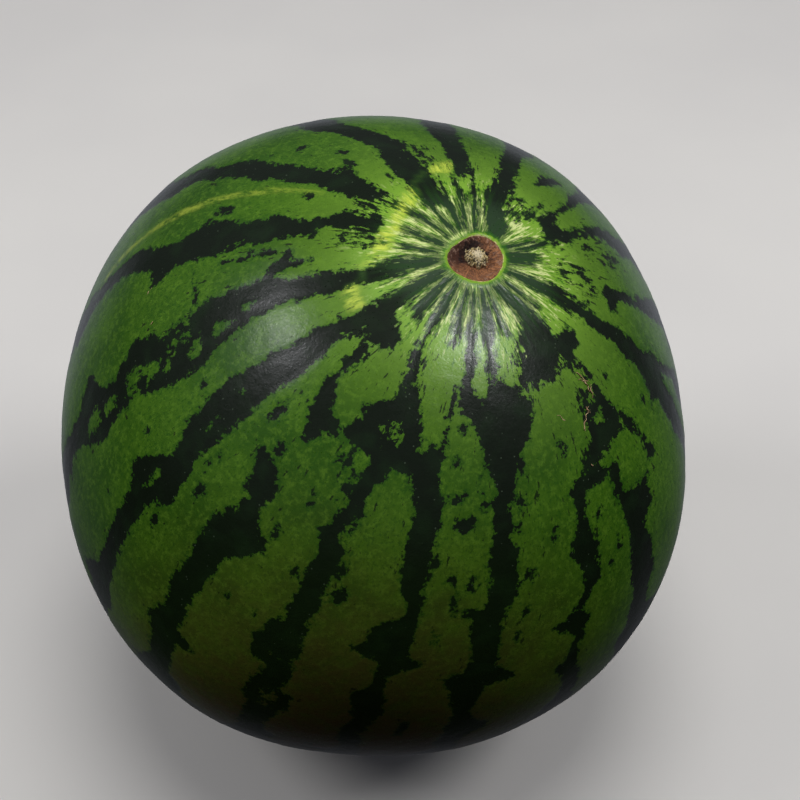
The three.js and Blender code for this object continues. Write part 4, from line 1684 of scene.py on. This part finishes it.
@dataclass
class BlossomScar:
    """The corky scar where the flower sat: a hollow ring round a crumbly knob.

    Attributes:
        segments: Divisions round it.
        rings: Divisions from the middle of its top to the middle of its underside.
        spread: Its edge, as a share of the outline's radius. The rim sinks into the rind there.
        knob_mm: Radius of the knob.
        knob_off_mm: Where the knob stands from the middle, to the right and to the back.
        crumb_mm: Size of its crumbs.
        knob_height_mm: How far the knob stands above the hollow.
        floor_mm: Depth of the hollow.
        wall_mm: How far the ring climbs from there to its edge.
        sunk_mm: Depth of the underside, below the edge.
        hollow_deg: The side on which the ring is hollowed deepest.
        hollow_mm: How much deeper it is there.
        grain_mm: Radius at which the fibres of its cork are as wide as they are made.
        finish: Its material.
    """

    segments: int = 176
    rings: int = 150
    spread: float = 1.06
    knob_mm: float = 3.45
    knob_off_mm: tuple[float, float] = (1.45, 2.3)
    crumb_mm: float = 0.54
    knob_height_mm: float = 2.4
    floor_mm: float = -2.3
    wall_mm: float = 2.15
    sunk_mm: float = 3.6
    hollow_deg: float = 150.0
    hollow_mm: float = 0.9
    grain_mm: float = 9.0
    finish: ScarFinish = field(default_factory=ScarFinish)

    def from_knob(self, x: np.ndarray, y: np.ndarray) -> np.ndarray:
        """Distance from the middle of the knob, as a share of its uneven radius.

        Args:
            x: Millimetres from the pole to the right.
            y: Millimetres from the pole to the back.

        Returns:
            One share a place.
        """
        off = np.hypot(x - self.knob_off_mm[0], y - self.knob_off_mm[1]) / self.knob_mm
        spots = np.stack([x, y, 0.0 * x], axis=-1)
        return off * (1.0 + 0.22 * noise_field(spots, 1.5, 51.0) + 0.16 * noise_field(spots, 0.7, 57.0))

    def gaps(self, x: np.ndarray, y: np.ndarray) -> np.ndarray:
        """How near each place lies to the gaps between the knob's crumbs."""
        return crumb_gaps(np.stack([x, y, 0.0 * x], axis=-1), self.crumb_mm, 4.0)

    def hollow(self, x: np.ndarray, y: np.ndarray, ratio: np.ndarray) -> np.ndarray:
        """How far each place lies in the deep side of the ring, from 0 to 1."""
        side = np.cos(np.arctan2(y, x) - math.radians(self.hollow_deg))
        return smooth_step(0.1, 0.95, side) * smooth_step(0.25, 0.5, ratio) * smooth_step(1.0, 0.75, ratio)

    def top_mm(self, x: np.ndarray, y: np.ndarray, ratio: np.ndarray) -> np.ndarray:
        """Height of the scar's top over the bare rind, in millimetres.

        Args:
            x: Millimetres from the pole to the right.
            y: Millimetres from the pole to the back.
            ratio: Distance from the pole, as a share of the outline's radius.

        Returns:
            One height a place.
        """
        off = self.from_knob(x, y)
        ring = self.floor_mm + self.wall_mm * smooth_step(0.5, 1.0, ratio)
        ring = ring - self.hollow_mm * self.hollow(x, y, ratio)
        dome = self.knob_height_mm * np.sqrt(np.clip(1.0 - (off / 1.18) ** 2, 0.0, 1.0))
        on_knob = smooth_step(1.2, 1.0, off)
        spots = np.stack([x, y, 0.0 * x], axis=-1)
        rough = smooth_step(0.1, 0.75, off)
        crumbs = rough * 0.8 * (0.4 - self.gaps(x, y)) + (0.25 + 0.2 * rough) * noise_field(spots, 0.5, 8.0)
        wrinkles = 0.5 * noise_field(spots, 1.8, 17.0) + 0.25 * noise_field(spots, 0.7, 23.0)
        crease = -0.45 * np.exp(-(((off - 1.25) / 0.16) ** 2))
        inner = smooth_step(1.0, 0.9, ratio)
        return ring + dome + crumbs * on_knob + (wrinkles * (1.0 - on_knob) + crease) * inner

    def build(self) -> bpy.types.Object:
        """Makes the scar and dresses it.

        Returns:
            The scar.
        """
        piece = new_sphere("blossom_scar", self.segments, self.rings)
        unit = read_points(piece)
        around = np.degrees(np.arctan2(unit[:, 1], unit[:, 0]))
        turn = np.degrees(np.arccos(np.clip(unit[:, 2], -1.0, 1.0)))
        upper = turn <= 90.0
        ratio = np.where(upper, turn, 180.0 - turn) / 90.0 * self.spread
        reach = SCAR_OUTLINE.reach_mm(around) * ratio
        x = reach * np.cos(np.radians(around))
        y = reach * np.sin(np.radians(around))
        cap = FORM.pole_radius / MM * np.sqrt(1.0 - (reach / (FORM.equator_radius / MM)) ** 2)
        rim = self.floor_mm + self.wall_mm
        below = rim - self.sunk_mm * np.sqrt(np.clip(1.0 - (ratio / self.spread) ** 2, 0.0, 1.0))
        tuck = -0.5 * smooth_step(1.0, self.spread, ratio)
        height = cap + tuck + np.where(upper, self.top_mm(x, y, ratio), below)
        write_points(piece, FORM.place(np.stack([x, y, height], axis=-1) * MM))
        turned = np.radians(around)
        grain = np.stack([self.grain_mm * np.cos(turned), self.grain_mm * np.sin(turned), reach], axis=-1)
        keep_values(piece, "grain", grain)
        off = self.from_knob(x, y)
        keep_values(piece, "out", ratio)
        keep_values(piece, "knob", smooth_step(1.35, 0.95, off))
        # Painted shade: the crease round the knob is darkest on its far side, and a dark band follows the
        # ring's deep side.
        bearing = np.arctan2(y - self.knob_off_mm[1], x - self.knob_off_mm[0])
        behind = 0.35 + 0.65 * smooth_step(-0.2, 0.6, np.sin(bearing))
        crease = 0.9 * np.exp(-(((off - 1.26) / 0.2) ** 2)) * behind
        side = smooth_step(-0.2, 0.8, np.cos(np.radians(around - self.hollow_deg + 20.0)))
        keep_values(piece, "crease", np.maximum(crease, 0.75 * side * np.exp(-(((off - 1.5) / 0.35) ** 2))))
        keep_values(piece, "core", smooth_step(0.7, 0.25, off))
        keep_values(piece, "gap", self.gaps(x, y))
        # Painted shade that darkens the ring's deep side.
        deep_side = np.cos(np.radians(around - self.hollow_deg + 12.0))
        keep_values(piece, "shade", smooth_step(-0.1, 0.9, deep_side))
        hand_over(piece, self.finish.material())
        return piece


@dataclass
class StemStump:
    """The short dried stump of the stem, flared where it leaves the rind and cut off square.

    Attributes:
        segments: Divisions round it.
        rings: Divisions from the middle of the cut to the middle of its foot.
        face: Share of the rings at which the cut face ends.
        side: Share of the rings at which the side ends and the hidden foot begins.
        radius_mm: Its radius.
        flare_mm: How much wider its foot is.
        length_mm: How far it stands out of the dish.
        under_mm: How far its foot sinks into the rind.
        ribs: How many ribs run down it.
        rib_share: Their height, as a share of the radius.
        grain_mm: Radius at which its fibres are as wide as they are made.
        finish: Its material.
    """

    segments: int = 120
    rings: int = 90
    face: float = 0.3
    side: float = 0.85
    radius_mm: float = 4.4
    flare_mm: float = 2.4
    length_mm: float = 7.5
    under_mm: float = 1.6
    ribs: int = 5
    rib_share: float = 0.09
    grain_mm: float = 5.0
    finish: StumpFinish = field(default_factory=StumpFinish)

    def build(self) -> bpy.types.Object:
        """Makes the stump and dresses it.

        Returns:
            The stump.
        """
        piece = new_sphere("stem_stump", self.segments, self.rings)
        unit = read_points(piece)
        turned = np.arctan2(unit[:, 1], unit[:, 0])
        # turn runs from 0 at the middle of the cut, out to its rim, up the side and in again under the rind
        turn = 1.0 - np.degrees(np.arccos(np.clip(unit[:, 2], -1.0, 1.0))) / STEM_END_DEG
        on_face = turn < self.face
        on_side = ~on_face & (turn < self.side)
        along = np.clip((turn - self.face) / (self.side - self.face), 0.0, 1.0)
        radius = np.where(
            on_face,
            self.radius_mm * 0.97 * turn / self.face,
            self.radius_mm + self.flare_mm * smooth_step(0.35, 1.0, along),
        )
        foot = (self.radius_mm + self.flare_mm) * (1.0 - turn) / (1.0 - self.side)
        radius = np.where(turn > self.side, foot, radius) - 0.35 * smooth_step(0.12, 0.0, along) * ~on_face
        radius = radius * (1.0 + self.rib_share * np.cos(self.ribs * turned) * smooth_step(0.0, 0.2, turn))
        x = radius * np.cos(turned)
        y = radius * np.sin(turned)
        drop = np.where(on_face, self.length_mm, self.length_mm * (1.0 - along) - self.under_mm * along)
        drop = np.where(turn > self.side, -self.under_mm, drop)

        dip = 0.6 * smooth_step(self.face, 0.0, turn) * on_face
        fray = 0.25 * noise_field(np.stack([x, y, drop], axis=-1), 0.8, 2.0) * (turn < self.face * 1.2)
        groove = 0.22 * noise_field(np.stack([x, y, drop * 0.15], axis=-1), 1.1, 9.0) * on_side
        x = x * (1.0 + groove / self.radius_mm)
        y = y * (1.0 + groove / self.radius_mm)
        height = -(FORM.pole_radius - FORM.dish_depth) / MM - drop + dip + fray
        write_points(piece, FORM.place(np.stack([x, y, height], axis=-1) * MM))
        grain = np.stack([self.grain_mm * np.cos(turned), self.grain_mm * np.sin(turned), drop], axis=-1)
        keep_values(piece, "grain", grain)
        keep_values(piece, "cut", smooth_step(self.face * 1.05, self.face * 0.95, turn))
        keep_values(piece, "foot", smooth_step(0.55, 0.95, along))
        hand_over(piece, self.finish.material())
        return piece


@dataclass
class CorkThreads:
    """Healed scratches, as thin raised threads of cork that follow the rind.

    Attributes:
        paths: Their lines: degrees down and degrees around.
        radius_mm: Radius of a thread.
        sides: Divisions round a thread.
        step_mm: Length of a division along it.
        sunk_share: How far its middle lies under the rind, as a share of its radius.
        flat_share: Its height, as a share of its width.
        finish: Their material.
    """

    paths: tuple[tuple[tuple[float, float], ...], ...] = (
        ((23.6, -36.6), (24.6, -35.4), (26.0, -35.2), (27.2, -35.8), (28.2, -35.4)),
        ((24.8, -37.4), (25.6, -36.0), (26.2, -34.0)),
        ((26.8, -34.2), (27.6, -35.2), (28.6, -36.6)),
        ((29.2, -39.4), (29.7, -41.2), (30.3, -42.8), (31.2, -44.4), (32.0, -45.2)),
        ((28.9, -40.6), (29.4, -40.8), (30.2, -40.2)),
        ((27.4, -52.6), (28.2, -51.6), (28.9, -50.4)),
        ((37.0, -47.2), (37.4, -46.6)),
        ((54.4, -172.2), (54.9, -171.6)),
        ((55.0, 179.6), (55.8, 180.6), (56.5, 181.0)),
    )
    radius_mm: float = 0.2
    sides: int = 8
    step_mm: float = 0.3
    sunk_share: float = 0.35
    flat_share: float = 0.7
    finish: ThreadFinish = field(default_factory=ThreadFinish)

    def line(self, path: tuple[tuple[float, float], ...]) -> np.ndarray:
        """Even steps along one thread.

        Args:
            path: Its line, as in paths.

        Returns:
            Places in the frame, one a row.
        """
        places = np.array(path)
        length = FORM.mm_per_degree * np.hypot(
            np.diff(places[:, 0]), np.diff(places[:, 1]) * np.sin(np.radians(places[:-1, 0]))
        )
        reach = np.concatenate([[0.0], np.cumsum(length)])
        stops = np.linspace(0.0, reach[-1], max(6, int(reach[-1] / self.step_mm)))
        down = np.interp(stops, reach, places[:, 0])
        around = np.interp(stops, reach, places[:, 1])
        return FORM.place(FORM.upright(down, around))

    def add_thread(self, mesh: bmesh.types.BMesh, line: np.ndarray, index: int) -> None:
        """Adds one uneven thread, with its two ends closed.

        Args:
            mesh: The mesh that it goes into.
            line: The places along it.
            index: Its number, which its unevenness depends on.
        """
        centre = FORM.place(np.zeros((1, 3)))[0]
        jitter = noise_field(line, 0.0016, 40.0 + index)
        sink = 2.2 * noise_field(line, 0.0012, 70.0 + index)
        last = len(line) - 1
        rings = []
        for stop, spot in enumerate(line):
            outward = Vector(spot - centre).normalized()
            ahead = Vector(line[min(stop + 1, last)] - line[max(stop - 1, 0)]).normalized()
            across = ahead.cross(outward).normalized()
            taper = math.sin(math.pi * min(max(stop / last, 0.03), 0.97)) ** 0.4
            radius = self.radius_mm * MM * taper * (1.0 + 0.8 * jitter[stop])
            lift = (sink[stop] - self.sunk_share) * self.radius_mm * MM
            middle = Vector(spot) + across * jitter[stop] * 0.9 * MM + outward * lift
            ring = []
            for side in range(self.sides):
                angle = 2.0 * math.pi * side / self.sides
                beside = across * math.cos(angle) * radius
                above = outward * math.sin(angle) * radius * self.flat_share
                ring.append(mesh.verts.new(middle + (beside + above)))
            rings.append(ring)
        for first, second in zip(rings[:-1], rings[1:]):
            for side in range(self.sides):
                after = (side + 1) % self.sides
                mesh.faces.new((first[side], first[after], second[after], second[side]))
        mesh.faces.new(rings[0])
        mesh.faces.new(rings[-1])

    def build(self) -> bpy.types.Object:
        """Makes the threads and dresses them.

        Returns:
            The threads, as one piece.
        """
        mesh = bmesh.new()
        for index, path in enumerate(self.paths):
            self.add_thread(mesh, self.line(path), index)
        data = bpy.data.meshes.new("cork_threads")
        mesh.to_mesh(data)
        mesh.free()
        piece = bpy.data.objects.new("cork_threads", data)
        bpy.context.scene.collection.objects.link(piece)
        write_points(piece, read_points(piece))
        hand_over(piece, self.finish.material())
        return piece


class LampUse(Enum):
    """What a light is for."""

    SHADE = "shading only, without a reflection"
    SHINE = "reflection only"


@dataclass(frozen=True)
class Lamp:
    """One soft oval light.

    Attributes:
        name: Its name.
        place: Where it hangs.
        size: Its width and its height.
        power: Its power in watts.
        colour: Its linear colour.
        use: What it is for.
    """

    name: str
    place: tuple[float, float, float]
    size: tuple[float, float]
    power: float
    colour: tuple[float, float, float]
    use: LampUse


@dataclass(frozen=True)
class Studio:
    """The camera, the lights and the floor.

    Attributes:
        aim: The point that the camera and the lamps look at.
        distance: How far the camera is from it.
        elevation_deg: How high the camera looks down from.
        focal_px: Its focal length, in pixels of the photograph.
        frame_px: Width of the photograph.
        sensor_mm: Width of its sensor.
        floor_side: Width of the floor.
        sky_colour: Colour of the surroundings.
        sky_above: How bright they are above.
        glow_behind: How bright the low part behind the fruit is.
        glow_far: How much brighter the far end of that part is.
        lamps: The lights.
    """

    aim: tuple[float, float, float] = (0.0113, -0.0006, 0.1467)
    distance: float = 0.6677
    elevation_deg: float = 40.0
    focal_px: float = 1700.0
    frame_px: float = 800.0
    sensor_mm: float = 36.0
    floor_side: float = 16.0
    sky_colour: tuple[float, float, float, float] = (0.86, 0.89, 1.0, 1.0)
    sky_above: float = 0.13
    glow_behind: float = 0.09
    glow_far: float = 0.32
    lamps: tuple[Lamp, ...] = (
        Lamp("top_panel", (0.08, -0.12, 2.35), (1.2, 1.2), 22.0, (1.0, 0.99, 0.96), LampUse.SHADE),
        Lamp("left_wall", (-1.52, -0.24, 1.52), (0.9, 0.9), 13.2, (1.0, 0.99, 0.97), LampUse.SHADE),
        Lamp("right_wall", (1.42, -0.22, 1.7), (0.9, 0.9), 16.2, (1.0, 0.99, 0.97), LampUse.SHADE),
        Lamp("right_sheen", (1.15, -0.48, 1.86), (0.24, 0.24), 15.0, (0.98, 0.98, 1.0), LampUse.SHINE),
        Lamp("left_sheen", (-1.2, -0.26, 1.85), (0.62, 0.3), 9.2, (0.96, 0.94, 1.0), LampUse.SHINE),
    )

    def camera(self) -> None:
        """Sets the camera at the photograph's viewing angle."""
        data = bpy.data.cameras.new("camera")
        data.sensor_width = self.sensor_mm
        data.lens = self.focal_px / self.frame_px * self.sensor_mm
        data.clip_start = 0.01
        data.clip_end = 50.0
        camera = bpy.data.objects.new("camera", data)
        bpy.context.scene.collection.objects.link(camera)
        tilt = math.radians(self.elevation_deg)
        back = Vector((0.0, -math.cos(tilt), math.sin(tilt)))
        camera.location = Vector(self.aim) + back * self.distance
        camera.rotation_euler = (math.radians(90.0 - self.elevation_deg), 0.0, 0.0)
        bpy.context.scene.camera = camera

    def light(self, lamp: Lamp) -> None:
        """Hangs one soft oval light that looks at the fruit.

        Args:
            lamp: The light.
        """
        data = bpy.data.lights.new(lamp.name, "AREA")
        data.shape = "ELLIPSE"
        data.size, data.size_y = lamp.size
        data.energy = lamp.power
        data.color = lamp.colour
        hung = bpy.data.objects.new(lamp.name, data)
        bpy.context.scene.collection.objects.link(hung)
        hung.location = lamp.place
        hung.rotation_mode = "QUATERNION"
        hung.rotation_quaternion = (Vector(self.aim) - Vector(lamp.place)).to_track_quat("-Z", "Y")
        hung.visible_diffuse = lamp.use is LampUse.SHADE
        hung.visible_glossy = lamp.use is LampUse.SHINE

    def sky(self) -> None:
        """Sets a pale sky above, a paler glow from the floor behind and a dim room in front."""
        world = bpy.data.worlds.new("sky")
        world.use_nodes = True
        tree = world.node_tree
        axes = tree.nodes.new("ShaderNodeSeparateXYZ")
        tree.links.new(tree.nodes.new("ShaderNodeTexCoord").outputs["Generated"], axes.inputs[0])

        def ease(source: bpy.types.NodeSocket, low: float, high: float, top: float) -> bpy.types.NodeSocket:
            """Eases an axis from 0 at low to top at high.

            Args:
                source: The axis.
                low: Where the result is 0.
                high: Where it is top.
                top: The greatest result.

            Returns:
                The eased output.
            """
            made = tree.nodes.new("ShaderNodeMapRange")
            made.interpolation_type = "SMOOTHSTEP"
            tree.links.new(source, made.inputs[0])
            for socket, value in zip(made.inputs[1:5], (low, high, 0.0, top)):
                socket.default_value = value
            return made.outputs[0]

        def combine(
            operation: str, first: bpy.types.NodeSocket, second: bpy.types.NodeSocket
        ) -> bpy.types.NodeSocket:
            """One sum on two outputs.

            Args:
                operation: What is done to them.
                first: An output.
                second: An output.

            Returns:
                The result.
            """
            made = tree.nodes.new("ShaderNodeMath")
            made.operation = operation
            tree.links.new(first, made.inputs[0])
            tree.links.new(second, made.inputs[1])
            return made.outputs[0]

        above = ease(axes.outputs["Z"], -0.15, 0.35, self.sky_above)
        below = ease(axes.outputs["Z"], 0.0, -0.3, 1.0)
        behind = ease(axes.outputs["Y"], -0.1, 0.6, self.glow_behind)
        far = ease(axes.outputs["Y"], 0.56, 0.76, self.glow_far)
        strength = combine("ADD", above, combine("MULTIPLY", below, combine("ADD", behind, far)))
        ground = tree.nodes["Background"]
        ground.inputs["Color"].default_value = self.sky_colour
        tree.links.new(strength, ground.inputs["Strength"])
        bpy.context.scene.world = world
        bpy.context.scene.view_settings.view_transform = "Standard"

    def floor(self) -> None:
        """Lays the floor."""
        bpy.ops.object.select_all(action="DESELECT")
        bpy.ops.mesh.primitive_plane_add(size=self.floor_side)
        piece = bpy.context.object
        piece.name = "floor"
        piece.data.materials.append(FloorFinish().material())
        piece.visible_diffuse = False
        piece.visible_glossy = False


def main() -> None:
    """Builds the studio and the fruit's pieces in order."""
    logging.basicConfig(level=logging.INFO, format="%(name)s: %(message)s")
    studio = Studio()
    studio.camera()
    for lamp in studio.lamps:
        studio.light(lamp)
    studio.sky()
    studio.floor()
    builders: tuple[Callable[[], bpy.types.Object], ...] = (
        Rind().build,
        BlossomScar().build,
        StemStump().build,
        CorkThreads().build,
    )
    for build in builders:
        build()


if __name__ == "__main__":
    main()
